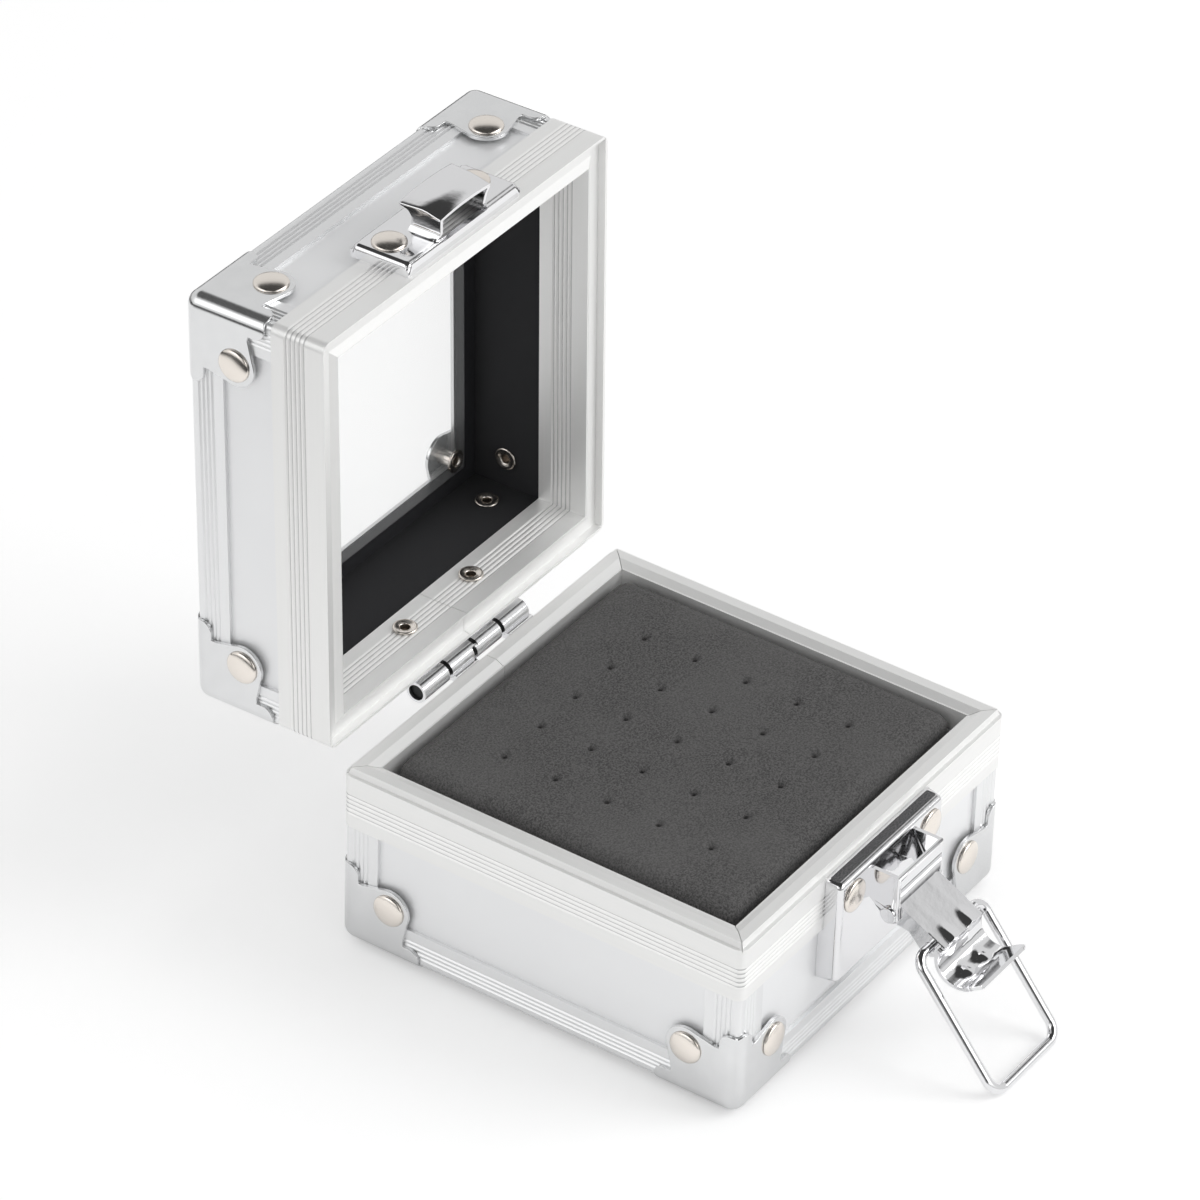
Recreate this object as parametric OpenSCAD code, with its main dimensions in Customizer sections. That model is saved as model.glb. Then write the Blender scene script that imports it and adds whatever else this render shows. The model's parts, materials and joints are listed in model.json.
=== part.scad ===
// Small aluminium storage box for drill bits: framed base with a foam block,
// hinged lid with a clear window, and a draw latch on the front.
// The front with the latch faces -Y, the hinge is at +Y, and the box stands on z = 0.
// The lid is drawn open on its stop and the latch hangs open, as the box is shown.

/* [Case] */
// Width over the rim bands
case_w = 95; // [85:1:120]
// Depth over the rim bands
case_d = 95; // [85:1:120]
// Height of the base from its lowest cap face to the rim
base_height = 41.1; // [38:0.1:55]
// Height of the lid from its rim to its top cap face
lid_height = 33.4; // [31:0.1:45]
// How far the lid is open on its stop, in degrees
lid_open = 91.3; // [80:0.1:100]

/* [Boards and lining] */
// Thickness of the wall and bottom boards
board_t = 3; // [2.5:0.1:3.2]
// Thickness of the clear window pane
pane_t = 2.5; // [1.5:0.1:3]
// Thickness of the black lining
lining_t = 0.8; // [0.5:0.1:1]

/* [Rim extrusion] */
// Height of the rim band down the wall
band_h = 12.5; // [11.5:0.1:14]
// Thickness of the outer band, from its face to the board
band_t = 1.2; // [1:0.1:1.6]
// Thickness of the inner flange of the rim
inner_flange_t = 1.4; // [1.2:0.1:1.6]
// Thickness of the solid head of the rim
rim_head = 2.8; // [2.4:0.1:3.2]
// Bend radius of the rim at the corners
rim_bend_r = 2; // [1.5:0.1:3]
// Distance of the first rim groove from the rim plane
rim_groove_in = 4.9; // [4:0.1:5.5]
// Number of fine lines along the rim
rim_lines = 5; // [3:1:6]
// Height of the sealing bead on the base rim
bead_h = 1.3; // [1:0.1:1.5]
// Distance of the bead from the outer band face
bead_inset = 0.8; // [0.7:0.1:1]
// How far the bead's outer side leans in
bead_slope = 0.4; // [0.3:0.05:0.5]
// Width of the bead's flat top
bead_top = 2.3; // [2:0.1:2.6]
// Width of the lip that ends the bead's inner slope
bead_lip_w = 0.4; // [0.3:0.05:0.6]
// Height of that lip above the rim plane
bead_lip_h = 0.45; // [0.3:0.05:0.6]
// Clearance around the bead in the lid groove
bead_clear = 0.25; // [0.2:0.05:0.4]
// Gap left between the two rims when shut
rim_gap = 0.1; // [0.05:0.05:0.3]
// Width of the saw cut where the ends of a rim meet
joint_gap = 0.15; // [0.1:0.05:0.3]
// Depth of the mitre hairlines below a rim's meeting face
mitre_depth = 0.5; // [0.3:0.1:1]

/* [Edge extrusions] */
// Width of each flange of an edge extrusion
edge_leg = 8.1; // [7:0.1:9]
// Thickness of an edge extrusion
edge_t = 0.8; // [0.6:0.1:1]
// Outer radius of an edge extrusion
edge_r = 1.2; // [1:0.1:1.6]
// Number of fine lines along each flange of an edge
edge_lines = 4; // [3:1:5]
// Distance of the first of them from the flange's outer corner
edge_line_in = 2.3; // [2:0.1:2.6]
// Depth of a fine line
groove_d = 0.2; // [0.15:0.05:0.3]
// Width of a fine line
groove_w = 0.7; // [0.5:0.05:0.8]
// Spacing of the fine lines
groove_pitch = 1.05; // [0.9:0.05:1.1]

/* [Corner caps] */
// Sheet thickness of a corner cap
cap_t = 0.8; // [0.6:0.1:1]
// Inner bend radius of a cap
cap_bend_r = 2.2; // [1.6:0.1:2.4]
// How far the rounded end of an edge shows past the cap over it
dressed_past = 0.1; // [0.05:0.05:0.4]
// Reach of a cap along each edge
cap_reach = 19.5; // [18:0.1:21]
// Radius of the small lobe at each end of a cap
cap_ear_r = 2.35; // [2:0.05:2.6]
// Distance of the notch beside each small lobe from the corner
cap_notch = 15.6; // [15:0.1:16.5]
// Radius of the large lobe around the rivet
cap_lobe_r = 4.7; // [4.4:0.1:5.2]
// Distance of the cap rivets from both edges
cap_rivet_in = 12.3; // [11.8:0.1:12.8]

/* [Rivets] */
// Radius of a rivet head
rivet_head_r = 3.6; // [3.2:0.1:4]
// Height of a rivet head
rivet_head_h = 1.1; // [0.9:0.1:1.3]
// Radius of a rivet shank
rivet_r = 1.6; // [1.2:0.1:2]
// Radius of the flared tail inside the box
rivet_tail_r = 2.6; // [2.4:0.1:3]
// Thickness of the flared tail
rivet_tail_t = 0.6; // [0.4:0.1:0.7]
// Radius of the hole in the tubular tail
rivet_bore_r = 1; // [0.6:0.1:1.1]
// Radial clearance of a shank in its hole
rivet_clear = 0.05; // [0.03:0.01:0.1]

/* [Foam block] */
// Gap between the foam and the front and left rims
foam_gap = 1.9; // [1.5:0.1:3]
// Gap between the foam and the back and right rims
foam_gap_back = 0.8; // [0.7:0.1:1.5]
// How far the foam stands above the rim plane
foam_proud = 1.2; // [0:0.1:2]
// Number of bit holes along each side of the grid
bit_count = 5; // [3:1:6]
// Spacing of the bit holes
bit_pitch = 12.3; // [10:0.1:13]
// Radius of a bit hole at rest
bit_r = 0.6; // [0.4:0.05:1]
// Depth of a bit hole
bit_depth = 24; // [15:1:30]
// Radius of the dimple around a bit hole
dimple_r = 1.5; // [1.1:0.1:2]
// Depth of the dimple
dimple_h = 0.7; // [0.4:0.1:1]

/* [Hinge] */
// Distance of the hinge axis behind the rim bands
hinge_back = 3.4; // [3.3:0.1:4]
// Height of the hinge axis above the base rim plane
hinge_up = 0.6; // [0.4:0.1:1]
// Length of the hinge barrel
hinge_len = 36; // [32:0.5:40]
// Outer radius of the barrel
barrel_r = 2.4; // [2.2:0.1:2.5]
// Radius of the hinge pin
hinge_pin_r = 1.7; // [1.5:0.1:1.8]
// Radial clearance of the hinge pin
hinge_clear = 0.05; // [0.03:0.01:0.1]
// Thickness of the hinge leaves
leaf_t = 0.9; // [0.7:0.1:0.9]
// Length of each leaf down its wall
leaf_h = 12; // [12:0.1:13]
// Distance of the pin's ends inside the barrel
pin_recess = 0.8; // [0.3:0.1:1.5]
// Distance of a leaf's edge from the axis
leaf_start = 0.3; // [0.2:0.05:0.5]
// Open gap between the outer knuckles and their neighbours
knuckle_gap = 1.1; // [0.8:0.1:1.6]
// Close gap between the two middle knuckles
knuckle_clear = 0.1; // [0.05:0.05:0.2]
// Spacing of the two rivets of a leaf
leaf_rivet_span = 22.8; // [20:0.1:24]
// Distance of the leaf rivets from the rim plane
leaf_rivet_drop = 8; // [7.8:0.1:8.2]

/* [Latch plate and bracket] */
// Sheet thickness of the latch parts
latch_t = 0.9; // [0.7:0.1:1]
// Width of the latch plate and the keeper plate
plate_w = 37.2; // [35:0.1:40]
// Height of the latch plate
plate_h = 24.4; // [23:0.1:25.5]
// Distance of the latch plate's top edge below the rim
plate_drop = 0.7; // [0.4:0.1:1.2]
// How far the latch plate's face stands in front of the rim band
plate_out = 3.8; // [3.4:0.1:4.2]
// Spacing of the latch plate rivets
latch_rivet_span = 27.6; // [26.5:0.1:29]
// Distance of the latch plate rivets below the rim
latch_rivet_drop = 5.5; // [5:0.1:6.5]
// Width of the bracket
bracket_w = 16.2; // [15.5:0.1:17]
// How far the bracket's front stands in front of the rim band
bracket_out = 10.5; // [10:0.1:10.8]
// Distance of the bracket's top below the rim
bracket_drop = 2.2; // [1.8:0.1:2.6]
// Distance of the lever pivot in front of the rim band
pivot_out = 8.6; // [8.4:0.1:8.9]
// Distance of the lever pivot below the rim
pivot_drop = 11.6; // [11.4:0.1:12]
// Height of the pivot at which the bracket's front wall ends
front_wall_gap = 2.7; // [2.6:0.05:3]
// Radius of the bracket's ears around the pivot
ear_r = 2.2; // [2:0.1:2.4]
// Radius of the lever pin
lever_pin_r = 1.3; // [1:0.1:1.5]
// Radius of the lever pin's heads
lever_pin_head_r = 1.75; // [1.6:0.05:2]
// Thickness of the lever pin's heads
lever_pin_head_t = 0.8; // [0.5:0.1:1]
// Radial clearance of the latch pivots
pivot_clear = 0.05; // [0.03:0.01:0.1]

/* [Latch lever] */
// How far the lever is swung out from flat, in degrees
lever_open = 62; // [50:0.5:62]
// Side gap between the lever and the bracket
lever_side_gap = 0.2; // [0.15:0.05:0.4]
// Distance of the lever's outer face from its pivot
lever_face = 2.6; // [2.5:0.05:2.65]
// Distance from the lever pivot to the bail's eyes
eye_reach = 10.1; // [9.8:0.1:10.6]
// Length of the flat part of the lever in front of its pivot
lever_flat = 12.1; // [12:0.1:13]
// Radius of the finger scoop
scoop_r = 4.8; // [4.4:0.1:5]
// Radius of the lever's side around its pivot
cheek_root_r = 2.5; // [2.2:0.1:2.6]
// Radius of the lever's side around the bail's eye
boss_r = 2.3; // [2:0.1:2.5]
// Width of the finger scoop
scoop_w = 16; // [15:0.1:17]
// Length of the flared lip
lip_len = 4; // [3:0.1:5]

/* [Bail] */
// Radius of the bail wire
wire_r = 1.1; // [0.9:0.05:1.2]
// Width of the bail between the centres of its legs
bail_w = 23.4; // [22.6:0.1:25]
// Bend radius of the bail's lower corners
bail_corner_r = 3.4; // [3:0.1:4.5]
// Bend radius of the bail's upper ends
bail_eye_r = 2.6; // [2.2:0.1:3]
// How far the bail's ends reach inside the lever's cheeks
stub_in = 0.6; // [0.4:0.1:1]
// Distance of the hanging bail's bar above the surface the box stands on
bail_lift = 0.1; // [0.05:0.05:1]

/* [Keeper] */
// Height of the keeper plate
keeper_h = 13.8; // [13:0.1:14.5]
// Distance of the keeper plate from the lid's rim
keeper_up = 1; // [0.6:0.1:1.6]
// How far the keeper plate's face stands in front of the rim band
keeper_out = 2.9; // [2.5:0.1:3.1]
// Spacing of the keeper rivets
keeper_rivet_span = 27.6; // [27:0.1:29]
// Distance of the keeper rivets from the lid's rim
keeper_rivet_up = 9; // [8.7:0.1:9.3]
// Width of the keeper hook
hook_w = 16.8; // [15:0.1:17.5]
// How far the hook's lip stands in front of the rim band
hook_out = 9.5; // [9.3:0.1:10]
// Distance of the latched bail's bar from the lid's rim
latched_up = 9.7; // [9.5:0.1:10]
// Distance of the latched bail's bar in front of the rim band
latched_out = 6; // [5.8:0.1:6.2]
// Gap between the latched bar and the neck of the hook
neck_gap = 0.3; // [0.15:0.05:0.4]

/* [Hidden] */
$fn = 64;
edge_step = band_t - edge_t;
under_z = rivet_head_h;
rim_z = under_z + base_height;
base_depth = base_height - cap_t;
lid_depth = lid_height - cap_t;
board_in = band_t + board_t;
rim_w = board_in + inner_flange_t;
bead_end = bead_inset + bead_slope + bead_top;
edge_dressed = cap_reach - cap_t + dressed_past;
hinge_y = case_d / 2 + hinge_back;
hinge_z = rim_z + hinge_up;
front_y = -case_d / 2;
knuckle_len = (hinge_len - 2 * knuckle_gap - knuckle_clear) / 4;
pivot_y = front_y - pivot_out;
pivot_z = rim_z - pivot_drop;
eye_y = pivot_y - eye_reach * sin(lever_open);
eye_z = pivot_z - eye_reach * cos(lever_open);
shut_eye_z = pivot_z - eye_reach;
shut_bar_y = front_y - latched_out;
shut_bar_z = rim_z + rim_gap + latched_up;
bail_len = norm([shut_bar_y - pivot_y, shut_bar_z - shut_eye_z]);
bail_hang = acos((eye_z - wire_r - bail_lift) / bail_len);
bail_latched = 180 + atan((shut_bar_y - pivot_y) / (shut_bar_z - shut_eye_z));
lever_in_w = bracket_w - 2 * latch_t - 2 * lever_side_gap;

BRIGHT = [0.86, 0.87, 0.88];
SATIN = [0.80, 0.81, 0.82];
BOARD = [0.76, 0.78, 0.80];
CHROME = [0.70, 0.71, 0.73];
NICKEL = [0.80, 0.77, 0.71];
BLACK = [0.10, 0.10, 0.11];
FOAM = [0.19, 0.19, 0.19];
CLEAR = [0.80, 0.88, 0.90, 0.35];

FRONT = 0;
RIGHT = 1;
BACK = 2;
LEFT = 3;
CORNERS = [[-1, -1], [1, -1], [1, 1], [-1, 1]];

// Placement: each half is drawn with its rim plane at z = 0 and its depth along +Z

module on_base() {
    translate([0, 0, rim_z])
        mirror([0, 0, 1])
            children();
}

module swung_open() {
    translate([0, hinge_y, hinge_z])
        rotate([-lid_open, 0, 0])
            translate([0, -hinge_y, -hinge_z])
                children();
}

module on_lid() {
    swung_open()
        translate([0, 0, rim_z + rim_gap])
            children();
}

// Turns a shape drawn for the front side to another side of the case
module to_side(side) {
    rotate([0, 0, 90 * side])
        children();
}

function side_run(side) = side % 2 == 0 ? case_w : case_d;
function side_out(side) = side % 2 == 0 ? case_d / 2 : case_w / 2;

// Draws an outline given in the Y and Z directions and extrudes it along X
module along_x(w) {
    rotate([90, 0, 90])
        linear_extrude(height = w, center = true)
            children();
}

// Rivets

// Head above z = 0, shank and flared tail below it
module rivet(grip) {
    ball_r = (rivet_head_r * rivet_head_r + rivet_head_h * rivet_head_h) / (2 * rivet_head_h);
    intersection() {
        translate([0, 0, rivet_head_h - ball_r])
            sphere(r = ball_r);
        cylinder(r = rivet_head_r, h = rivet_head_h);
    }
    difference() {
        union() {
            translate([0, 0, -grip])
                cylinder(r = rivet_r, h = grip);
            translate([0, 0, -grip - rivet_tail_t])
                cylinder(r = rivet_tail_r, h = rivet_tail_t);
        }
        translate([0, 0, -grip - rivet_tail_t - 0.1])
            cylinder(r = rivet_bore_r, h = rivet_tail_t + board_t);
    }
}

module rivet_hole(grip) {
    translate([0, 0, -grip])
        cylinder(r = rivet_r + rivet_clear, h = grip + 1);
}

// Places its children at a point of a side, x along the side and z down the half
module at_wall(side, x, z, out = 0) {
    to_side(side)
        translate([x, -side_out(side) - out, z])
            rotate([90, 0, 0])
                children();
}

cap_seat = edge_step - cap_t;
cap_face_in = cap_rivet_in + cap_seat;
wall_grip = board_in + lining_t - cap_seat;

// Puts its children at each rivet of the caps of one half; $grip is what the rivet holds together
module at_cap_rivets(depth, sheet) {
    for (side = [FRONT, RIGHT, BACK, LEFT])
        for (s = [-1, 1])
            let ($grip = wall_grip)
                at_wall(side, s * (side_run(side) / 2 - cap_face_in), depth + cap_t - cap_rivet_in, -cap_seat)
                    children();
    for (c = CORNERS)
        let ($grip = sheet + edge_t + cap_t)
            translate([c[0] * (case_w / 2 - cap_face_in), c[1] * (case_d / 2 - cap_face_in), depth + cap_t])
                children();
}

module cap_rivets(depth, sheet) {
    at_cap_rivets(depth, sheet)
        rivet($grip);
}

module cap_rivet_holes(depth, sheet) {
    at_cap_rivets(depth, sheet)
        rivet_hole($grip);
}

// Rivets of a hinge leaf, through the rim and the back board
leaf_grip = rim_w + leaf_t;

module leaf_rivets(rim_off) {
    for (s = [-1, 1])
        at_wall(BACK, s * leaf_rivet_span / 2, leaf_rivet_drop - rim_off, leaf_t)
            rivet(leaf_grip);
}

module leaf_rivet_holes(rim_off) {
    for (s = [-1, 1])
        at_wall(BACK, s * leaf_rivet_span / 2, leaf_rivet_drop - rim_off, leaf_t)
            rivet_hole(leaf_grip);
}

// Rivets of the latch plate and of the keeper, through the rim and the front board
module front_rivets(span, z, out) {
    for (s = [-1, 1])
        at_wall(FRONT, s * span / 2, z, out)
            rivet(rim_w + out);
}

module front_rivet_holes(span, z, out) {
    for (s = [-1, 1])
        at_wall(FRONT, s * span / 2, z, out)
            rivet_hole(rim_w + out);
}

module base_holes() {
    cap_rivet_holes(base_depth, board_t);
    leaf_rivet_holes(0);
    front_rivet_holes(latch_rivet_span, latch_rivet_drop, plate_out);
}

module lid_holes() {
    cap_rivet_holes(lid_depth, pane_t);
    leaf_rivet_holes(rim_gap);
    front_rivet_holes(keeper_rivet_span, keeper_rivet_up, keeper_out);
}

// Boards, lining and edges of one half

// Wall board of one side; the left and right boards run over the ends of the others
module wall_board(side, depth, sheet) {
    run = side_run(side) - 2 * (side % 2 == 0 ? board_in : band_t);
    to_side(side)
        translate([-run / 2, -side_out(side) + band_t, rim_head])
            cube([run, board_t, depth - edge_t - sheet - rim_head]);
}

module flat_sheet(depth, sheet) {
    translate([-case_w / 2 + band_t, -case_d / 2 + band_t, depth - edge_t - sheet])
        cube([case_w - 2 * band_t, case_d - 2 * band_t, sheet]);
}

module lining_ring(depth, sheet) {
    lining_h = depth - edge_t - sheet - band_h;
    outer = [case_w - 2 * board_in, case_d - 2 * board_in];
    translate([0, 0, band_h])
        linear_extrude(height = lining_h)
            difference() {
                square(outer, center = true);
                square([outer[0] - 2 * lining_t, outer[1] - 2 * lining_t], center = true);
            }
}

// Quarter outline of an L extrusion with its corner at the origin
module edge_outline() {
    difference() {
        union() {
            translate([edge_r, 0])
                square([edge_leg - edge_r, edge_leg]);
            translate([0, edge_r])
                square([edge_leg, edge_leg - edge_r]);
            translate([edge_r, edge_r])
                circle(r = edge_r);
        }
        translate([edge_t, edge_t])
            square(edge_leg);
        for (i = [0 : edge_lines - 1]) {
            along = edge_line_in + i * groove_pitch;
            translate([along, 0])
                line_cut();
            translate([0, along])
                rotate(90)
                    line_cut();
        }
    }
}

// Section of a fine line cut into a face along X
module line_cut() {
    polygon([[-groove_w / 2, 0], [0, -groove_d], [groove_w / 2, 0], [0, groove_d]]);
}

// Upright edge at a corner, from the band to the cap
module upright_edge(corner, depth) {
    mirror([corner[0] > 0 ? 1 : 0, 0, 0])
        mirror([0, corner[1] > 0 ? 1 : 0, 0])
            translate([-case_w / 2 + edge_step, -case_d / 2 + edge_step, 0])
                intersection() {
                    translate([0, 0, band_h])
                        linear_extrude(height = depth - band_h)
                            edge_outline();
                    union() {
                        cube([edge_leg, edge_leg, depth - edge_dressed]);
                        translate([0, 0, depth])
                            mirror([0, 0, 1])
                                rounded_corner(cap_bend_r, depth);
                    }
                }
}

// Edge between a wall and the flat sheet, between the upright edges
module flat_edge(side, depth) {
    run = side_run(side) - 2 * (edge_step + edge_leg);
    to_side(side)
        translate([0, -side_out(side) + edge_step, depth])
            mirror([0, 0, 1])
                intersection() {
                    along_x(run)
                        edge_outline();
                    union() {
                        along_x(run + 2 * edge_leg - 2 * edge_dressed)
                            square(edge_leg);
                        along_x(run)
                            corner_outline(cap_bend_r, edge_leg);
                    }
                }
}

// Rim

module rounded_slab(inset, h) {
    w = case_w - 2 * inset;
    d = case_d - 2 * inset;
    r = rim_bend_r - min(inset, rim_bend_r - 0.2);
    linear_extrude(height = h)
        union() {
            square([w - 2 * r, d], center = true);
            square([w, d - 2 * r], center = true);
            for (c = CORNERS)
                translate([c[0] * (w / 2 - r), c[1] * (d / 2 - r)])
                    circle(r = r);
        }
}

// Fine lines along the band's face and along the inner flange
module rim_line_cuts() {
    for (side = [FRONT, RIGHT, BACK, LEFT])
        for (i = [0 : rim_lines - 1])
            to_side(side)
                translate([0, -side_out(side), rim_groove_in + i * groove_pitch]) {
                    along_x(side_run(side))
                        rotate(90)
                            line_cut();
                    translate([0, rim_w, 0])
                        along_x(side_run(side) - 2 * rim_w)
                            rotate(90)
                                line_cut();
                }
}

// Four mitred lengths whose section is given as [distance from the band face, z]
module mitred_ring(section) {
    reach = rim_w + 1;
    for (side = [FRONT, RIGHT, BACK, LEFT])
        to_side(side)
            intersection() {
                along_x(side_run(side))
                    polygon([for (p = section) [-side_out(side) + p[0], p[1]]]);
                translate([0, 0, -reach])
                    linear_extrude(height = 2 * reach)
                        polygon([
                            [-side_run(side) / 2, -side_out(side)],
                            [side_run(side) / 2, -side_out(side)],
                            [side_run(side) / 2 - reach, -side_out(side) + reach],
                            [-side_run(side) / 2 + reach, -side_out(side) + reach]
                        ]);
            }
}

module rim_body() {
    difference() {
        rounded_slab(0, band_h);
        translate([0, 0, -1])
            rounded_slab(rim_w, band_h + 2);
        translate([0, 0, rim_head])
            difference() {
                translate([-case_w / 2 + band_t, -case_d / 2 + band_t, 0])
                    cube([case_w - 2 * band_t, case_d - 2 * band_t, band_h]);
                translate([-case_w / 2 + board_in, -case_d / 2 + board_in, -1])
                    cube([case_w - 2 * board_in, case_d - 2 * board_in, band_h + 2]);
            }
        rim_line_cuts();
    }
}

// Hairline of the mitre at each corner of a rim's meeting face
module mitre_cuts() {
    for (c = CORNERS)
        translate([c[0] * (case_w - rim_w) / 2, c[1] * (case_d - rim_w) / 2, 0])
            rotate(45 * c[0] * c[1])
                translate([-rim_w, -joint_gap / 2, -bead_h - 1])
                    cube([2 * rim_w, joint_gap, bead_h + 1 + mitre_depth]);
}

// Gap through the rim at the middle of the back, where its two ends meet
module rim_joint_cut() {
    translate([-joint_gap / 2, case_d / 2 - rim_w - 1, -2])
        cube([joint_gap, rim_w + 2, band_h + 3]);
}

// Base side, pieces in order

module base_board(side) {
    color(BOARD)
        on_base()
            difference() {
                wall_board(side, base_depth, board_t);
                base_holes();
            }
}

module base_bottom_board() {
    color(BOARD)
        on_base()
            difference() {
                flat_sheet(base_depth, board_t);
                base_holes();
            }
}

module base_rim() {
    color(BRIGHT)
        on_base()
            difference() {
                union() {
                    rim_body();
                    mitred_ring([
                        [bead_inset, 0.1], [bead_inset + bead_slope, -bead_h], [bead_end, -bead_h],
                        [rim_w - bead_lip_w, -bead_lip_h], [rim_w, -bead_lip_h], [rim_w, 0.1]
                    ]);
                }
                mitre_cuts();
                rim_joint_cut();
                base_holes();
            }
}

module base_lining() {
    color(BLACK)
        on_base()
            difference() {
                lining_ring(base_depth, board_t);
                base_holes();
            }
}

foam_lo = [-case_w / 2 + rim_w + foam_gap, -case_d / 2 + rim_w + foam_gap];
foam_hi = [case_w / 2 - rim_w - foam_gap_back, case_d / 2 - rim_w - foam_gap_back];
foam_bottom = under_z + cap_t + edge_t + board_t + rivet_tail_t;
foam_top = rim_z + foam_proud;

function bit_place(i) = (i - (bit_count - 1) / 2) * bit_pitch;

module foam_block() {
    color(FOAM)
        difference() {
            translate([foam_lo[0], foam_lo[1], foam_bottom])
                cube([foam_hi[0] - foam_lo[0], foam_hi[1] - foam_lo[1], foam_top - foam_bottom]);
            for (i = [0 : bit_count - 1])
                for (j = [0 : bit_count - 1])
                    translate([bit_place(i), bit_place(j), foam_top])
                        bit_hole();
        }
}

module bit_hole() {
    translate([0, 0, -bit_depth])
        cylinder(r = bit_r, h = bit_depth + 1);
    translate([0, 0, -dimple_h])
        cylinder(r1 = bit_r, r2 = dimple_r, h = dimple_h);
    translate([0, 0, -0.01])
        cylinder(r = dimple_r, h = 1);
}

// Outline of one face of a cap, corner at the origin
module cap_outline() {
    ear_c = cap_reach - cap_ear_r;
    shoulder = cap_rivet_in + cap_lobe_r - 0.1;
    notch_in = 2 * cap_ear_r + 1.1;
    polygon([
        [0, 0], [cap_notch, 0], [cap_notch, notch_in], [shoulder, cap_rivet_in - 0.8],
        [cap_rivet_in - 0.8, shoulder], [notch_in, cap_notch], [0, cap_notch]
    ]);
    translate([cap_rivet_in, cap_rivet_in])
        circle(r = cap_lobe_r);
    for (flip = [0, 1])
        mirror([flip, -flip])
            union() {
                square([ear_c, 2 * cap_ear_r]);
                translate([ear_c, cap_ear_r])
                    circle(r = cap_ear_r);
            }
}

// Block with its three outer edges at the origin rounded
module rounded_corner(r, s) {
    intersection() {
        linear_extrude(height = s)
            corner_outline(r, s);
        rotate([90, 0, 90])
            linear_extrude(height = s)
                corner_outline(r, s);
        mirror([0, -1, 0])
            rotate([90, 0, 0])
                linear_extrude(height = s)
                    corner_outline(r, s);
    }
}

module corner_outline(r, s) {
    union() {
        translate([r, 0])
            square([s - r, s]);
        translate([0, r])
            square([s, s - r]);
        translate([r, r])
            circle(r = r);
    }
}

module cap_at_origin() {
    outer_r = cap_bend_r + cap_t;
    size = cap_reach + 1;
    intersection() {
        difference() {
            rounded_corner(outer_r, size);
            translate([cap_t, cap_t, cap_t])
                rounded_corner(cap_bend_r, size);
        }
        union() {
            linear_extrude(height = outer_r)
                cap_outline();
            rotate([90, 0, 90])
                linear_extrude(height = outer_r)
                    cap_outline();
            mirror([0, -1, 0])
                rotate([90, 0, 0])
                    linear_extrude(height = outer_r)
                        cap_outline();
        }
    }
}

module corner_cap(corner, depth) {
    mirror([corner[0] > 0 ? 1 : 0, 0, 0])
        mirror([0, corner[1] > 0 ? 1 : 0, 0])
            translate([-case_w / 2 + cap_seat, -case_d / 2 + cap_seat, depth + cap_t])
                mirror([0, 0, 1])
                    cap_at_origin();
}

module base_cap(corner) {
    color(CHROME)
        on_base()
            difference() {
                corner_cap(corner, base_depth);
                cap_rivet_holes(base_depth, board_t);
            }
}

module base_upright_edge(corner) {
    color(SATIN)
        on_base()
            upright_edge(corner, base_depth);
}

module bottom_edge(side) {
    color(SATIN)
        on_base()
            difference() {
                flat_edge(side, base_depth);
                cap_rivet_holes(base_depth, board_t);
            }
}

module base_cap_rivets() {
    color(NICKEL)
        on_base()
            cap_rivets(base_depth, board_t);
}

// Hinge

// Start of knuckle i, counted from the left
function knuckle_x(i) = -hinge_len / 2 + i * knuckle_len + (i > 0 ? knuckle_gap : 0)
    + (i > 1 ? knuckle_clear : 0) + (i > 2 ? knuckle_gap : 0);

// Leaf with its pin axis along X through the origin and its plate rising along +Z
module hinge_leaf(own, other) {
    fold_h = barrel_r - leaf_t;
    difference() {
        union() {
            translate([-hinge_len / 2, -hinge_back, leaf_start])
                cube([hinge_len, leaf_t, leaf_h - leaf_start]);
            for (i = own)
                translate([knuckle_x(i), 0, 0]) {
                    translate([0, -hinge_back, leaf_start])
                        cube([knuckle_len, hinge_back, fold_h]);
                    rotate([0, 90, 0])
                        cylinder(r = barrel_r, h = knuckle_len);
                }
        }
        for (i = other)
            translate([knuckle_x(i) - knuckle_gap, -hinge_back - 1, -barrel_r])
                cube([knuckle_len + 2 * knuckle_gap, leaf_t + 2, 2 * barrel_r + leaf_start]);
        translate([-hinge_len, 0, 0])
            rotate([0, 90, 0])
                cylinder(r = hinge_pin_r + hinge_clear, h = 2 * hinge_len);
    }
}

LID_KNUCKLES = [0, 2];
BASE_KNUCKLES = [1, 3];

module hinge_base_leaf() {
    color(CHROME)
        difference() {
            translate([0, hinge_y, hinge_z])
                mirror([0, 0, 1])
                    hinge_leaf(BASE_KNUCKLES, LID_KNUCKLES);
            on_base()
                leaf_rivet_holes(0);
        }
}

module hinge_base_rivets() {
    color(NICKEL)
        on_base()
            leaf_rivets(0);
}

module hinge_pin() {
    color(BLACK)
        translate([0, hinge_y, hinge_z])
            rotate([0, 90, 0])
                cylinder(r = hinge_pin_r, h = hinge_len - 2 * pin_recess, center = true);
}

module hinge_lid_leaf() {
    color(CHROME)
        difference() {
            translate([0, hinge_y, hinge_z])
                rotate([-lid_open, 0, 0])
                    hinge_leaf(LID_KNUCKLES, BASE_KNUCKLES);
            on_lid()
                leaf_rivet_holes(rim_gap);
        }
}

module hinge_lid_rivets() {
    color(NICKEL)
        on_lid()
            leaf_rivets(rim_gap);
}

// Latch

// Moves children so that their origin is the lever pivot
module at_pivot() {
    translate([0, pivot_y, pivot_z])
        children();
}

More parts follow.
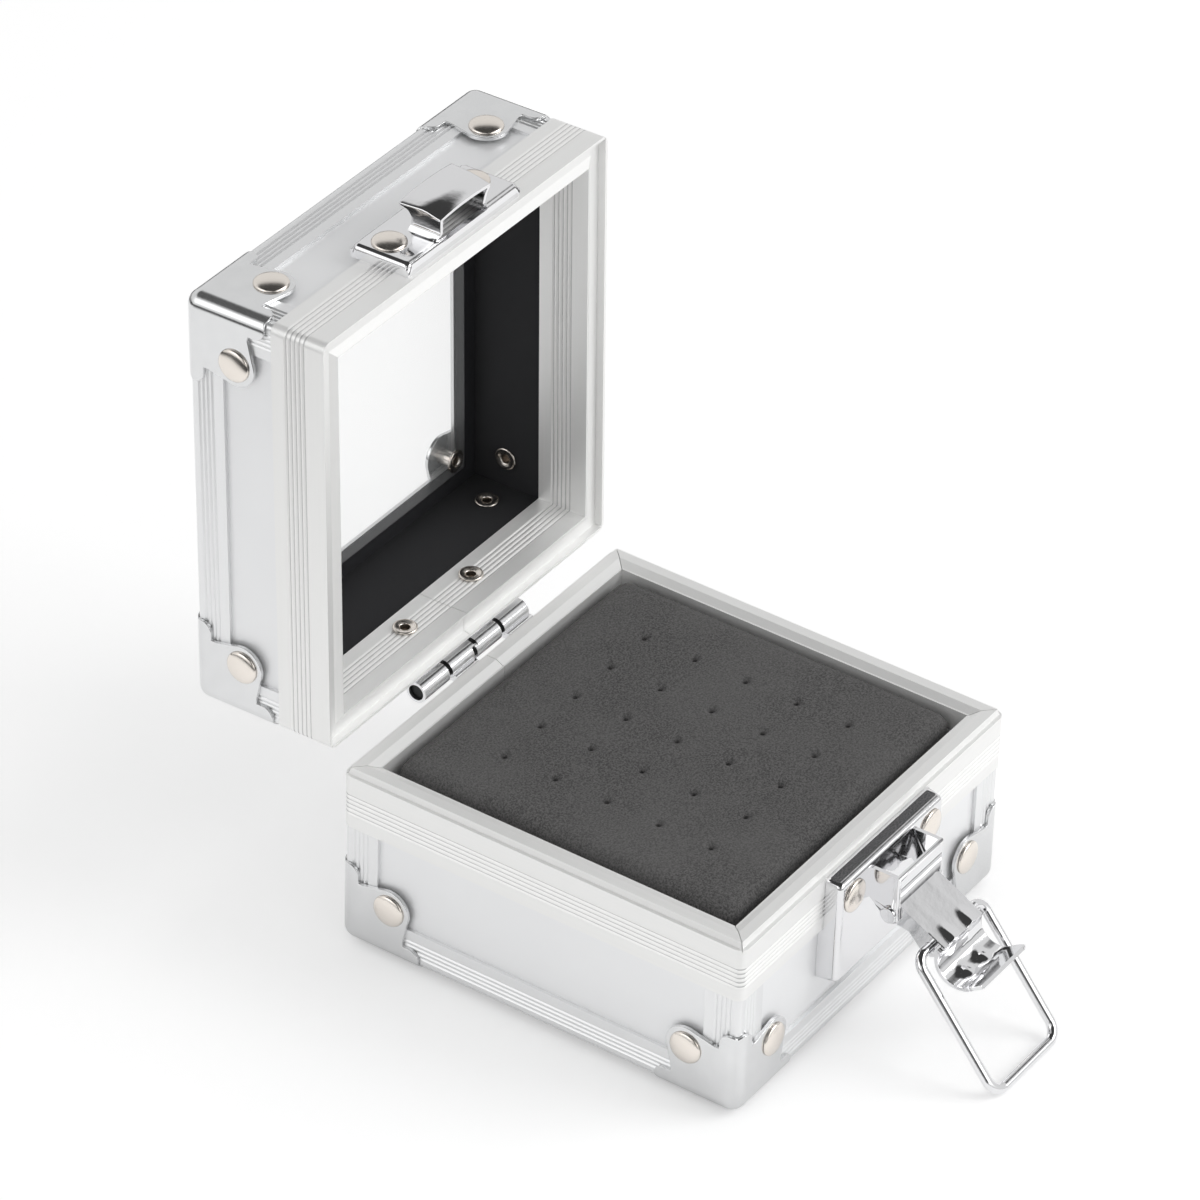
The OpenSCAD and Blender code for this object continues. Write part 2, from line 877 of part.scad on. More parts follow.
module latch_plate() {
    top = rim_z - plate_drop;
    bottom = top - plate_h;
    color(CHROME)
        difference() {
            union() {
                translate([-plate_w / 2, front_y - plate_out, bottom])
                    cube([plate_w, plate_out, plate_h]);
                translate([-plate_w / 2, front_y - plate_out, bottom])
                    cube([plate_w, plate_out + band_t, rim_z - band_h - 0.2 - bottom]);
            }
            translate([-plate_w / 2 + latch_t, front_y - plate_out + latch_t, bottom + latch_t])
                cube([plate_w - 2 * latch_t, plate_out + band_t, plate_h - 2 * latch_t]);
            on_base()
                front_rivet_holes(latch_rivet_span, latch_rivet_drop, plate_out);
        }
}

module latch_bracket() {
    plate_face = pivot_out - plate_out;
    front_face = -(bracket_out - pivot_out);
    top = pivot_drop - bracket_drop;
    color(CHROME)
        at_pivot()
            difference() {
                intersection() {
                    translate([-bracket_w / 2, front_face, -ear_r])
                        cube([bracket_w, plate_face - front_face, top + ear_r]);
                    along_x(bracket_w)
                        union() {
                            polygon([
                                [plate_face, top], [front_face, top], [front_face, 0],
                                [0, -ear_r], [plate_face, ear_r]
                            ]);
                            circle(r = ear_r);
                        }
                }
                translate([-bracket_w / 2 + latch_t, front_face + latch_t, -2 * ear_r])
                    cube([bracket_w - 2 * latch_t, plate_face - front_face, top + 4 * ear_r]);
                translate([-bracket_w / 2 + latch_t, front_face - latch_t, -2 * ear_r])
                    cube([bracket_w - 2 * latch_t, 3 * latch_t, front_wall_gap + 2 * ear_r]);
                rotate([0, 90, 0])
                    cylinder(r = lever_pin_r + pivot_clear, h = 2 * bracket_w, center = true);
            }
}

module latch_rivets() {
    color(NICKEL)
        on_base()
            front_rivets(latch_rivet_span, latch_rivet_drop, plate_out);
}

module lever_pin() {
    color(CHROME)
        at_pivot()
            rotate([0, 90, 0]) {
                cylinder(r = lever_pin_r, h = bracket_w + 0.1, center = true);
                for (s = [-1, 1])
                    translate([0, 0, s * (bracket_w + lever_pin_head_t) / 2])
                        cylinder(r = lever_pin_head_r, h = lever_pin_head_t, center = true);
            }
}

// Lever, drawn shut: its length runs down -Z from the pivot and its face is at -Y

SCOOP_START = 180;
SCOOP_END = 330;
lever_corner = latch_t / 2;
root_up = 0.8;
knee = [lever_face - latch_t / 2, lever_flat];

// Centre line of the scoop's sheet as [outward, down], from the knee round to the lip
function scoop_path() = [
    for (a = [SCOOP_START : 10 : SCOOP_END])
        knee + [scoop_r * sin(a), scoop_r + scoop_r * cos(a)]
];

// Sheet of even thickness along a path of [outward, down] points
module sheet_outline(path, t) {
    n = len(path);
    dirs = [for (i = [0 : n - 1]) path[min(i + 1, n - 1)] - path[max(i - 1, 0)]];
    sides = [for (d = dirs) [-d[1], d[0]] / norm(d) * t / 2];
    outline = concat(
        [for (i = [0 : n - 1]) path[i] + sides[i]],
        [for (i = [n - 1 : -1 : 0]) path[i] - sides[i]]
    );
    polygon([for (p = outline) [-p[0], -p[1]]]);
}

module latch_lever() {
    path = scoop_path();
    lip_end = path[len(path) - 1] + lip_len * [sin(SCOOP_END + 90), cos(SCOOP_END + 90)];
    color(CHROME)
        at_pivot()
            rotate([-lever_open, 0, 0])
                difference() {
                    union() {
                        translate([-lever_in_w / 2, -lever_face, -lever_flat - lever_corner])
                            cube([lever_in_w, latch_t, lever_flat + lever_corner + root_up]);
                        along_x(scoop_w)
                            sheet_outline(concat(path, [lip_end]), latch_t);
                        for (s = [-1, 1])
                            translate([s * (lever_in_w - latch_t) / 2, 0, 0])
                                along_x(latch_t)
                                    cheek_outline();
                    }
                    rotate([0, 90, 0])
                        cylinder(r = lever_pin_r + pivot_clear, h = 2 * bracket_w, center = true);
                    translate([0, 0, -eye_reach])
                        rotate([0, 90, 0])
                            cylinder(r = wire_r + pivot_clear, h = 2 * bracket_w, center = true);
                }
}

// Side of the lever: a round root, a waist and a boss around the bail's eye
module cheek_outline() {
    tip = -lever_flat - lever_corner;
    union() {
        polygon([
            [-lever_face, root_up], [-lever_face, tip], [-0.5, tip], [boss_r, -eye_reach - 0.8],
            [boss_r, -eye_reach + 1], [0.9, -eye_reach / 2], [cheek_root_r, 0], [0, root_up]
        ]);
        circle(r = cheek_root_r);
        translate([0, -eye_reach])
            circle(r = boss_r);
    }
}

// Bail, drawn hanging straight down from its eyes

module wire_bend(r, from) {
    rotate([90, 0, 0])
        rotate([0, 0, from])
            rotate_extrude(angle = 90)
                translate([r, 0])
                    circle(r = wire_r);
}

module latch_bail() {
    leg = bail_w / 2;
    stub_x = lever_in_w / 2 - latch_t - stub_in;
    color(CHROME)
        translate([0, eye_y, eye_z])
            rotate([-bail_hang, 0, 0])
                union() {
                    for (flip = [0, 1])
                        mirror([flip, 0, 0]) {
                            translate([stub_x, 0, 0])
                                rotate([0, 90, 0])
                                    cylinder(r = wire_r, h = leg - bail_eye_r - stub_x);
                            translate([leg - bail_eye_r, 0, -bail_eye_r])
                                wire_bend(bail_eye_r, 0);
                            translate([leg, 0, -bail_len + bail_corner_r])
                                cylinder(r = wire_r, h = bail_len - bail_corner_r - bail_eye_r);
                            translate([leg - bail_corner_r, 0, -bail_len + bail_corner_r])
                                wire_bend(bail_corner_r, -90);
                        }
                    translate([0, 0, -bail_len])
                        rotate([0, 90, 0])
                            cylinder(r = wire_r, h = bail_w - 2 * bail_corner_r, center = true);
                }
}

// Lid side, pieces in order

module lid_board(side) {
    color(BOARD)
        on_lid()
            difference() {
                wall_board(side, lid_depth, pane_t);
                lid_holes();
            }
}

module window_pane() {
    color(CLEAR)
        on_lid()
            difference() {
                flat_sheet(lid_depth, pane_t);
                lid_holes();
            }
}

module lid_rim() {
    color(BRIGHT)
        on_lid()
            difference() {
                rim_body();
                mitred_ring([
                    [bead_inset - bead_clear, -1], [bead_inset + bead_slope - bead_clear, bead_h + bead_clear],
                    [bead_end + bead_clear, bead_h + bead_clear],
                    [rim_w - bead_lip_w + bead_clear, bead_lip_h + bead_clear],
                    [rim_w + 1, bead_lip_h + bead_clear], [rim_w + 1, -1]
                ]);
                mitre_cuts();
                rim_joint_cut();
                lid_holes();
            }
}

module lid_lining() {
    color(BLACK)
        on_lid()
            difference() {
                lining_ring(lid_depth, pane_t);
                lid_holes();
            }
}

module lid_upright_edge(corner) {
    color(SATIN)
        on_lid()
            upright_edge(corner, lid_depth);
}

module top_edge(side) {
    color(SATIN)
        on_lid()
            difference() {
                flat_edge(side, lid_depth);
                cap_rivet_holes(lid_depth, pane_t);
            }
}

module lid_cap(corner) {
    color(CHROME)
        on_lid()
            difference() {
                corner_cap(corner, lid_depth);
                cap_rivet_holes(lid_depth, pane_t);
            }
}

module lid_cap_rivets() {
    color(NICKEL)
        on_lid()
            cap_rivets(lid_depth, pane_t);
}

// Outline of the hook as [in front of the band, from the lid's rim], bar seat at the neck
module hook_outline() {
    neck = latched_up - wire_r - neck_gap;
    polygon([
        [-keeper_out + 0.2, 1.6], [-hook_out, 0.7], [-hook_out, latched_up + 0.8],
        [-hook_out + latch_t, latched_up + 0.9], [-latched_out - 2.3, latched_up + 0.2],
        [-latched_out - 1.5, neck + 0.5], [-latched_out, neck], [-latched_out + 1.6, neck],
        [-keeper_out + 0.2, neck + 0.4]
    ]);
}

module hook_hollow() {
    neck = latched_up - wire_r - neck_gap;
    polygon([
        [-keeper_out + latch_t, 2.4], [-keeper_out, -2], [-hook_out + latch_t, -2],
        [-hook_out + latch_t, neck - 0.2], [-latched_out - 1, neck - latch_t],
        [-keeper_out + latch_t, neck - latch_t]
    ]);
}

module keeper_plate() {
    color(CHROME)
        on_lid()
            difference() {
                union() {
                    difference() {
                        translate([-plate_w / 2, front_y - keeper_out, keeper_up])
                            cube([plate_w, keeper_out, keeper_h]);
                        translate([0, front_y - keeper_out + latch_t, keeper_up + latch_t])
                            translate([-plate_w / 2 + latch_t, 0, 0])
                                cube([plate_w - 2 * latch_t, keeper_out, keeper_h - 2 * latch_t]);
                    }
                    translate([0, front_y, 0])
                        along_x(hook_w)
                            hook_outline();
                }
                translate([0, front_y, 0])
                    along_x(hook_w - 2 * latch_t)
                        hook_hollow();
                front_rivet_holes(keeper_rivet_span, keeper_rivet_up, keeper_out);
            }
}

module keeper_rivets() {
    color(NICKEL)
        on_lid()
            front_rivets(keeper_rivet_span, keeper_rivet_up, keeper_out);
}

base_board(FRONT);  // base_front_board
base_board(RIGHT);  // base_right_board
base_board(BACK);  // base_back_board
base_board(LEFT);  // base_left_board
base_bottom_board();
base_rim();
base_lining();
foam_block();
base_upright_edge(CORNERS[0]);  // base_edge_front_left
base_upright_edge(CORNERS[1]);  // base_edge_front_right
base_upright_edge(CORNERS[2]);  // base_edge_back_right
base_upright_edge(CORNERS[3]);  // base_edge_back_left
bottom_edge(FRONT);  // bottom_edge_front
bottom_edge(RIGHT);  // bottom_edge_right
bottom_edge(BACK);  // bottom_edge_back
bottom_edge(LEFT);  // bottom_edge_left
base_cap(CORNERS[0]);  // base_cap_front_left
base_cap(CORNERS[1]);  // base_cap_front_right
base_cap(CORNERS[2]);  // base_cap_back_right
base_cap(CORNERS[3]);  // base_cap_back_left
base_cap_rivets();
hinge_base_leaf();
hinge_base_rivets();
hinge_pin();
latch_plate();
latch_bracket();
latch_rivets();
lever_pin();
latch_lever();
latch_bail();
lid_board(FRONT);  // lid_front_board
lid_board(RIGHT);  // lid_right_board
lid_board(BACK);  // lid_back_board
lid_board(LEFT);  // lid_left_board
window_pane();
lid_rim();
lid_lining();
lid_upright_edge(CORNERS[0]);  // lid_edge_front_left
lid_upright_edge(CORNERS[1]);  // lid_edge_front_right
lid_upright_edge(CORNERS[2]);  // lid_edge_back_right
lid_upright_edge(CORNERS[3]);  // lid_edge_back_left
top_edge(FRONT);  // top_edge_front
top_edge(RIGHT);  // top_edge_right
top_edge(BACK);  // top_edge_back
top_edge(LEFT);  // top_edge_left
lid_cap(CORNERS[0]);  // lid_cap_front_left
lid_cap(CORNERS[1]);  // lid_cap_front_right
lid_cap(CORNERS[2]);  // lid_cap_back_right
lid_cap(CORNERS[3]);  // lid_cap_back_left
lid_cap_rivets();
hinge_lid_leaf();
hinge_lid_rivets();
keeper_plate();
keeper_rivets();
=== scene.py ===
# Finishes, finer shapes, light and camera for the small aluminium drill bit box.
# Every piece is built in millimetres in the box's own frame and written in metres.

import bpy
import bmesh
import json
import math
from mathutils import Matrix, Vector, noise


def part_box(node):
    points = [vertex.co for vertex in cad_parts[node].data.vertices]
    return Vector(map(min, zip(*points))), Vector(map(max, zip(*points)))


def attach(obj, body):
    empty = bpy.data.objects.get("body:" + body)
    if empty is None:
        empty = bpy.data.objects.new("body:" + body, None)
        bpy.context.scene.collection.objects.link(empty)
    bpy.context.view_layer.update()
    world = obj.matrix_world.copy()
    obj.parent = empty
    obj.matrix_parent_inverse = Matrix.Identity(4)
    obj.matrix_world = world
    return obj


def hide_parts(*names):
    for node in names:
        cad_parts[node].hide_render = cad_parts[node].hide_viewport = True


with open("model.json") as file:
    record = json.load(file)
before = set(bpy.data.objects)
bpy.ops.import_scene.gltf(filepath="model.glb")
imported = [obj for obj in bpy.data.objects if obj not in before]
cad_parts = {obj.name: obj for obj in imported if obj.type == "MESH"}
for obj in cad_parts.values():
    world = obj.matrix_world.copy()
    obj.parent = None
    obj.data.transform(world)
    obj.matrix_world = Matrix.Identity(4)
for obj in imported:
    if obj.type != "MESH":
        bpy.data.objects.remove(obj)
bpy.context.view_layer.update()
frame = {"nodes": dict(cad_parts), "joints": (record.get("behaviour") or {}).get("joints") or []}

MM = 0.001


def joint(name):
    """Y and Z of a joint of the frame, in millimetres, and its upper limit in degrees."""
    found = next(j for j in frame["joints"] if j["name"] == name)
    return found["pos_m"][1] / MM, found["pos_m"][2] / MM, found["range_deg"][1]


# Sizes and places taken from the frame
rim_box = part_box("base_rim")
HALF_W = rim_box[1].x / MM
HALF_D = rim_box[1].y / MM
HINGE_Y, HINGE_Z, LID_OPEN = joint("lid_hinge")
PIVOT_Y, PIVOT_Z, LEVER_OPEN = joint("lever_pivot")

# Sizes that the part's source gives the solids
HINGE_UP = 0.6
RIM_GAP = 0.1
RIM_W = 5.6
BASE_DEPTH = 40.3
LID_DEPTH = 32.6
BAND_T = 1.2
BOARD_T = 3.0
PANE_T = 2.5
LINING_T = 0.8
EDGE_T = 0.8
CAP_T = 0.8
CAP_PROUD = 0.4
RIM_Z = HINGE_Z - HINGE_UP

# Each half is shaped with its rim plane at z = 0 and its depth along +Z, then placed by its matrix
ON_BASE = Matrix.Translation((0, 0, RIM_Z)) @ Matrix.Diagonal((1, 1, -1, 1))
SWUNG_OPEN = (Matrix.Translation((0, HINGE_Y, HINGE_Z))
              @ Matrix.Rotation(math.radians(-LID_OPEN), 4, "X")
              @ Matrix.Translation((0, -HINGE_Y, -HINGE_Z)))
ON_LID = SWUNG_OPEN @ Matrix.Translation((0, 0, RIM_Z + RIM_GAP))
HALVES = {"base": ON_BASE, "lid": ON_LID}


# Pieces

def in_millimetres(node):
    """A merged copy of a solid's mesh, in millimetres."""
    bm = bmesh.new()
    bm.from_mesh(frame["nodes"][node].data)
    bmesh.ops.remove_doubles(bm, verts=bm.verts, dist=1e-6)
    bmesh.ops.scale(bm, verts=bm.verts, vec=(1 / MM,) * 3)
    return bm


def new_object(name, data):
    """A new object in the scene, at the origin."""
    made = bpy.data.objects.new(name, data)
    bpy.context.collection.objects.link(made)
    return made


def add_piece(name, bm, body, material, stands_for=(), crease=40, soft=False):
    """Writes a mesh in metres as a piece that rides on a body.

    A soft piece is smoothed by subdivision, any other is shaded evenly."""
    bmesh.ops.scale(bm, verts=bm.verts, vec=(MM,) * 3)
    mesh = bpy.data.meshes.new(name)
    bm.to_mesh(mesh)
    bm.free()
    mesh.materials.append(material)
    mesh.polygons.foreach_set("use_smooth", [True] * len(mesh.polygons))
    mesh.set_sharp_from_angle(angle=math.radians(crease))
    piece = new_object(name, mesh)
    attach(piece, body)
    if stands_for:
        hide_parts(*stands_for)
    if soft:
        smoothed = piece.modifiers.new("smoothed", "SUBSURF")
        smoothed.levels = smoothed.render_levels = 1
    else:
        even = piece.modifiers.new("even_shading", "WEIGHTED_NORMAL")
        even.keep_sharp = True
    return piece


def fine_piece(node, bm, body, material, crease=40):
    """A piece that is shown in place of one solid."""
    add_piece("fine_" + node, bm, body, material, stands_for=(node,), crease=crease)


def join_flats(bm):
    """Joins up the flat faces of a solid's mesh."""
    bmesh.ops.dissolve_limit(bm, angle_limit=math.radians(0.5), verts=bm.verts, edges=bm.edges)


def round_off(bm, edges, width, segments):
    """Rounds the given edges of a mesh."""
    bmesh.ops.bevel(bm, geom=edges, offset=width, offset_type="OFFSET", segments=segments,
                    profile=0.5, affect="EDGES", clamp_overlap=True, material=-1, loop_slide=True)


def sharp_edges(bm, turn=25):
    """Edges where two faces meet at more than an angle in degrees."""
    return [e for e in bm.edges
            if len(e.link_faces) == 2 and e.calc_face_angle() > math.radians(turn)]


def cut_up(bm, axis, places):
    """Cuts a mesh across an axis at each place, so that it can be bent."""
    for at in places:
        geom = list(bm.verts) + list(bm.edges) + list(bm.faces)
        bmesh.ops.bisect_plane(bm, geom=geom, dist=1e-4, plane_co=Vector(axis) * at, plane_no=axis)


def steps(low, high, count):
    """Evenly spaced values from low to high, with both ends."""
    return [low + (high - low) * i / count for i in range(count + 1)]


def eased(low, high, at):
    """0 at low, 1 at high, smooth between."""
    k = min(1.0, max(0.0, (at - low) / (high - low)))
    return k * k * (3 - 2 * k)


CAP_BEND_R = 3.0
FIRST_BEND_ROW = 0.3
BEND_ROWS = 9
FAR_END = {"base": BASE_DEPTH + CAP_T, "lid": LID_DEPTH + CAP_T}


def round_corners(bm, half, fine):
    """Turns the pointed meeting of three folds at a half's outer corners into a ball corner.

    A fine one gets rows of vertices across its folds first."""
    bmesh.ops.transform(bm, matrix=HALVES[half].inverted(), verts=bm.verts)
    far = (HALF_W + CAP_PROUD, HALF_D + CAP_PROUD, FAR_END[half])
    if fine:
        depths = steps(FIRST_BEND_ROW, CAP_BEND_R, BEND_ROWS)
        cut_up(bm, (1, 0, 0), [s * (far[0] - d) for s in (-1, 1) for d in depths])
        cut_up(bm, (0, 1, 0), [s * (far[1] - d) for s in (-1, 1) for d in depths])
        cut_up(bm, (0, 0, 1), [far[2] - d for d in depths])
    for v in bm.verts:
        sides = (math.copysign(1, v.co.x), math.copysign(1, v.co.y), 1)
        centre = [s * (f - CAP_BEND_R) for s, f in zip(sides, far)]
        a, b, c = (s * (at - mid) for s, at, mid in zip(sides, v.co, centre))
        if min(a, b, c) > 0:
            across = max(math.hypot(a, b), math.hypot(b, c), math.hypot(a, c))
            keep = across / math.hypot(a, b, c)
            v.co = [mid + s * keep * d for mid, s, d in zip(centre, sides, (a, b, c))]
    bmesh.ops.transform(bm, matrix=HALVES[half], verts=bm.verts)


def eased_piece(node, body, material, slot, width, segments):
    """A solid's own shape with its edges rounded as the real sheet or extrusion has them."""
    bm = in_millimetres(node)
    join_flats(bm)
    round_off(bm, sharp_edges(bm), width, segments)
    if body in HALVES:
        round_corners(bm, body, fine="_cap_" in node)
    fine_piece(node, bm, body, material)


# Finishes

class Wire:
    """A shader output that Python's operators join to others through Math nodes."""

    def __init__(self, book, socket):
        self.book = book
        self.socket = socket

    def __add__(self, other):
        return self.book.maths("ADD", self, other)

    def __sub__(self, other):
        return self.book.maths("SUBTRACT", self, other)

    def __rsub__(self, other):
        return self.book.maths("SUBTRACT", other, self)

    def __mul__(self, other):
        return self.book.maths("MULTIPLY", self, other)

    __radd__ = __add__
    __rmul__ = __mul__

    def rise(self, low, high):
        """0 below low, 1 above high, smooth between."""
        return self.book.node("ShaderNodeMapRange", {"interpolation_type": "SMOOTHSTEP"},
                              {"Value": self, "From Min": low, "From Max": high})


class Book:
    """The node tree of one material or world."""

    def __init__(self, tree):
        self.tree = tree
        tree.nodes.clear()

    def node(self, kind, settings=(), links=(), out=0):
        """Adds a node with its settings and inputs, and gives one output of it."""
        made = self.tree.nodes.new(kind)
        for key, value in dict(settings).items():
            setattr(made, key, value)
        for key, value in dict(links).items():
            self.join(value, made.inputs[key])
        return Wire(self, made.outputs[out])

    def join(self, value, socket):
        """Links a wire to an input, or sets the input to a plain value."""
        if isinstance(value, Wire):
            self.tree.links.new(value.socket, socket)
        else:
            socket.default_value = value

    def maths(self, operation, *values):
        return self.node("ShaderNodeMath", {"operation": operation}, dict(enumerate(values)))

    def place(self, turn=None):
        """Object coordinates in millimetres, turned by a matrix if given."""
        at = self.node("ShaderNodeTexCoord", out="Object")
        rot, loc = (0, 0, 0), (0, 0, 0)
        if turn is not None:
            back = turn.inverted()
            rot, loc = back.to_euler(), back.to_translation()
        return self.node("ShaderNodeMapping", {"vector_type": "POINT"},
                         {"Vector": at, "Scale": (1 / MM,) * 3, "Rotation": rot, "Location": loc})

    def parts(self, vector):
        split = self.node("ShaderNodeSeparateXYZ", links={"Vector": vector}).socket.node
        return [Wire(self, s) for s in split.outputs]

    def vector(self, x, y, z):
        return self.node("ShaderNodeCombineXYZ", links={"X": x, "Y": y, "Z": z})

    def noise(self, vector, scale, detail=3.0, rough=0.55):
        return self.node("ShaderNodeTexNoise", {}, {
            "Vector": vector, "Scale": scale, "Detail": detail, "Roughness": rough})

    def mix(self, factor, a, b):
        made = self.tree.nodes.new("ShaderNodeMix")
        made.data_type = "RGBA"
        self.join(factor, made.inputs[0])
        self.join(a, made.inputs[6])
        self.join(b, made.inputs[7])
        return Wire(self, made.outputs[2])

    def show(self, shader, kind="Material"):
        self.join(shader, self.tree.nodes.new("ShaderNodeOutput" + kind).inputs["Surface"])

    def bump(self, height, strength, distance):
        """A normal tilted by a height, whose full relief is a distance in millimetres."""
        return self.node("ShaderNodeBump", {}, {
            "Height": height, "Strength": strength, "Distance": distance * MM})


def rgb(r, g, b):
    return (r, g, b, 1.0)


def new_material(name):
    """A material without nodes yet, and its book."""
    material = bpy.data.materials.new(name)
    material.use_nodes = True
    return material, Book(material.node_tree)


def finish(name, build):
    """Makes a material whose Principled inputs come from build(book)."""
    material, book = new_material(name)
    book.show(book.node("ShaderNodeBsdfPrincipled", {}, build(book), out="BSDF"))
    return material


DIE_LINES_A_MM = 1.3
DIE_LINE_DRIFT = 0.008


def die_lines(book, x, y, z):
    """Fine lines that run along each side of an extruded frame, from its distance out and its depth."""
    ring = book.maths("MAXIMUM", book.maths("ABSOLUTE", x), book.maths("ABSOLUTE", y))
    at = book.vector(ring * DIE_LINES_A_MM, z * DIE_LINES_A_MM, (x + y) * DIE_LINE_DRIFT)
    return book.noise(at, scale=1.0, detail=2.0, rough=0.5)


RIM_GROOVE_IN = 4.9
RIM_GROOVES = 5
GROOVE_PITCH = 1.05
GROOVE_W = 0.7
SLOPE_AT = 0.25
SLOPE_FADE = (0.20, 0.32)


def painted_groove_light(book, z):
    """Masks of painted shade and highlight on the rim's drawn grooves: slopes nearer the rim plane, then
    the others.
    """
    count = (z - RIM_GROOVE_IN) * (1 / GROOVE_PITCH)
    nearest = book.maths("ROUND", count)
    off = (count - nearest) * (GROOVE_PITCH / GROOVE_W)
    past_row = book.maths("ABSOLUTE", nearest - (RIM_GROOVES - 1) / 2)
    row = 1.0 - past_row.rise(RIM_GROOVES / 2, RIM_GROOVES / 2 + 0.1)
    return [row * (1.0 - book.maths("ABSOLUTE", off + shift).rise(*SLOPE_FADE))
            for shift in (SLOPE_AT, -SLOPE_AT)]


def rim_metal(half):
    def build(book):
        x, y, z = book.parts(book.place(HALVES[half]))
        lines = die_lines(book, x, y, z)
        grain = book.noise(book.place(), scale=9.0, detail=2.0)
        shaded, lit = painted_groove_light(book, z)
        tone = book.mix(lines, rgb(0.91, 0.91, 0.90), rgb(0.96, 0.96, 0.95))
        # Painted shade on the groove slopes nearer the rim plane, painted highlight on the others.
        tone = book.mix(shaded, tone, rgb(0.58, 0.58, 0.58))
        tone = book.mix(lit, tone, rgb(1.0, 1.0, 0.99))
        return {"Base Color": tone, "Metallic": 0.5, "Roughness": 0.42 + 0.08 * grain,
                "Normal": book.bump(0.3 * lines + grain, strength=0.04, distance=0.05)}
    return finish("rim_metal_" + half, build)


def edge_metal(book):
    grain = book.noise(book.place(), scale=7.0)
    tone = book.mix(grain, rgb(0.82, 0.825, 0.83), rgb(0.90, 0.905, 0.91))
    return {"Base Color": tone, "Metallic": 0.75, "Roughness": 0.28 + 0.12 * grain,
            "Normal": book.bump(grain, strength=0.08, distance=0.05)}


def silver_board(book):
    at = book.place()
    cloud = book.noise(at, scale=0.05, detail=2.0)
    grain = book.noise(at, scale=14.0, detail=2.0)
    tone = book.mix(cloud, rgb(0.90, 0.905, 0.915), rgb(0.94, 0.945, 0.95))
    return {"Base Color": tone, "Metallic": 0.5, "Roughness": 0.42 + 0.08 * grain,
            "Normal": book.bump(grain, strength=0.06, distance=0.04)}


def cap_chrome(book):
    at = book.place()
    grain = book.noise(at, scale=5.0, detail=4.0)
    smear = book.noise(at, scale=0.25, detail=2.0)
    tone = book.mix(smear, rgb(0.72, 0.725, 0.73), rgb(0.80, 0.805, 0.81))
    return {"Base Color": tone, "Metallic": 0.92, "Roughness": 0.13 + 0.08 * grain,
            "Normal": book.bump(grain + smear * 2.0, strength=0.06, distance=0.06)}


def bright_chrome(book):
    at = book.place()
    wave = book.noise(at, scale=0.30)
    pits = book.noise(at, scale=7.0, detail=2.0)
    return {"Base Color": rgb(0.80, 0.80, 0.81), "Metallic": 1.0, "Roughness": 0.06 + 0.05 * pits,
            "Normal": book.bump(wave, strength=0.10, distance=0.25)}


def rivet_nickel(book):
    rub = book.noise(book.place(), scale=3.0)
    tone = book.mix(rub, rgb(0.78, 0.72, 0.66), rgb(0.92, 0.87, 0.81))
    return {"Base Color": tone, "Metallic": 1.0, "Roughness": 0.16 + 0.12 * rub,
            "Normal": book.bump(rub, strength=0.05, distance=0.05)}


def black_pin(book):
    grain = book.noise(book.place(), scale=8.0, detail=2.0)
    return {"Base Color": rgb(0.03, 0.03, 0.03), "Metallic": 0.6, "Roughness": 0.4 + 0.2 * grain}


def black_lining(book):
    at = book.place()
    felt = book.noise(at, scale=10.0, rough=0.7)
    fleck = book.noise(at, scale=24.0, detail=1.0)
    tone = book.mix(felt.rise(0.35, 0.75), rgb(0.012, 0.012, 0.014), rgb(0.028, 0.028, 0.031))
    return {"Base Color": tone, "Roughness": 0.85 + 0.1 * fleck,
            "Normal": book.bump(felt + fleck, strength=0.35, distance=0.08)}


def charcoal_foam(book):
    at = book.place()
    cells = book.noise(at, scale=2.4, rough=0.75)
    speck = book.noise(at, scale=5.0, detail=2.0, rough=0.7)
    broad = book.noise(at, scale=0.06, detail=2.0)
    tone = book.mix(cells.rise(0.34, 0.66), rgb(0.044, 0.043, 0.043), rgb(0.130, 0.127, 0.126))
    tone = book.mix(0.35 * broad.rise(0.3, 0.7), tone, rgb(0.125, 0.123, 0.122))
    return {"Base Color": tone, "Roughness": 0.88 + 0.08 * speck,
            "Normal": book.bump(cells + 0.5 * speck, strength=0.7, distance=0.16)}


def pane_black(book):
    smear = book.noise(book.place(), scale=0.6)
    tone = book.mix(smear, rgb(0.016, 0.016, 0.018), rgb(0.030, 0.031, 0.034))
    return {"Base Color": tone, "Roughness": 0.32 + 0.10 * smear}


# Painted shade: speckled near-black colour for the strip laid on the latch plate's top.
def painted_top_shade(book):
    speck = book.noise(book.place(), scale=3.2, rough=0.75)
    tone = book.mix(speck.rise(0.35, 0.65), rgb(0.05, 0.05, 0.052), rgb(0.20, 0.20, 0.205))
    return {"Base Color": tone, "Metallic": 0.5, "Roughness": 0.5 + 0.2 * speck,
            "Normal": book.bump(speck, strength=0.4, distance=0.06)}


def clear_acrylic(book):
    smear = book.noise(book.place(), scale=0.12)
    return {"Base Color": rgb(0.96, 0.98, 0.98), "Roughness": 0.02 + 0.05 * smear, "Alpha": 0.10,
            "Specular IOR Level": 0.5}


finishes = {
    "rim_base": rim_metal("base"),
    "rim_lid": rim_metal("lid"),
    "edge": finish("edge_metal", edge_metal),
    "board": finish("silver_board", silver_board),
    "cap": finish("cap_chrome", cap_chrome),
    "chrome": finish("bright_chrome", bright_chrome),
    "rivet": finish("rivet_nickel", rivet_nickel),
    "pin": finish("black_pin", black_pin),
    "lining": finish("black_lining", black_lining),
    "border": finish("pane_black", pane_black),
    "shade_on_top": finish("painted_top_shade", painted_top_shade),
    "foam": finish("charcoal_foam", charcoal_foam),
    "window": finish("clear_acrylic", clear_acrylic),
}


# Rivets

HEAD_R = 3.6
HEAD_H = 1.1
HEAD_RIM_H = 0.28
DOME_POWER = 1.1
SHANK_R = 1.6
TAIL_R = 2.6
TAIL_T = 0.6
TAIL_TURN = 202.5
BORE_R = 1.0
BORE_END = 3.0
CURVE_STEPS = 8
ROUND_STEPS = 40


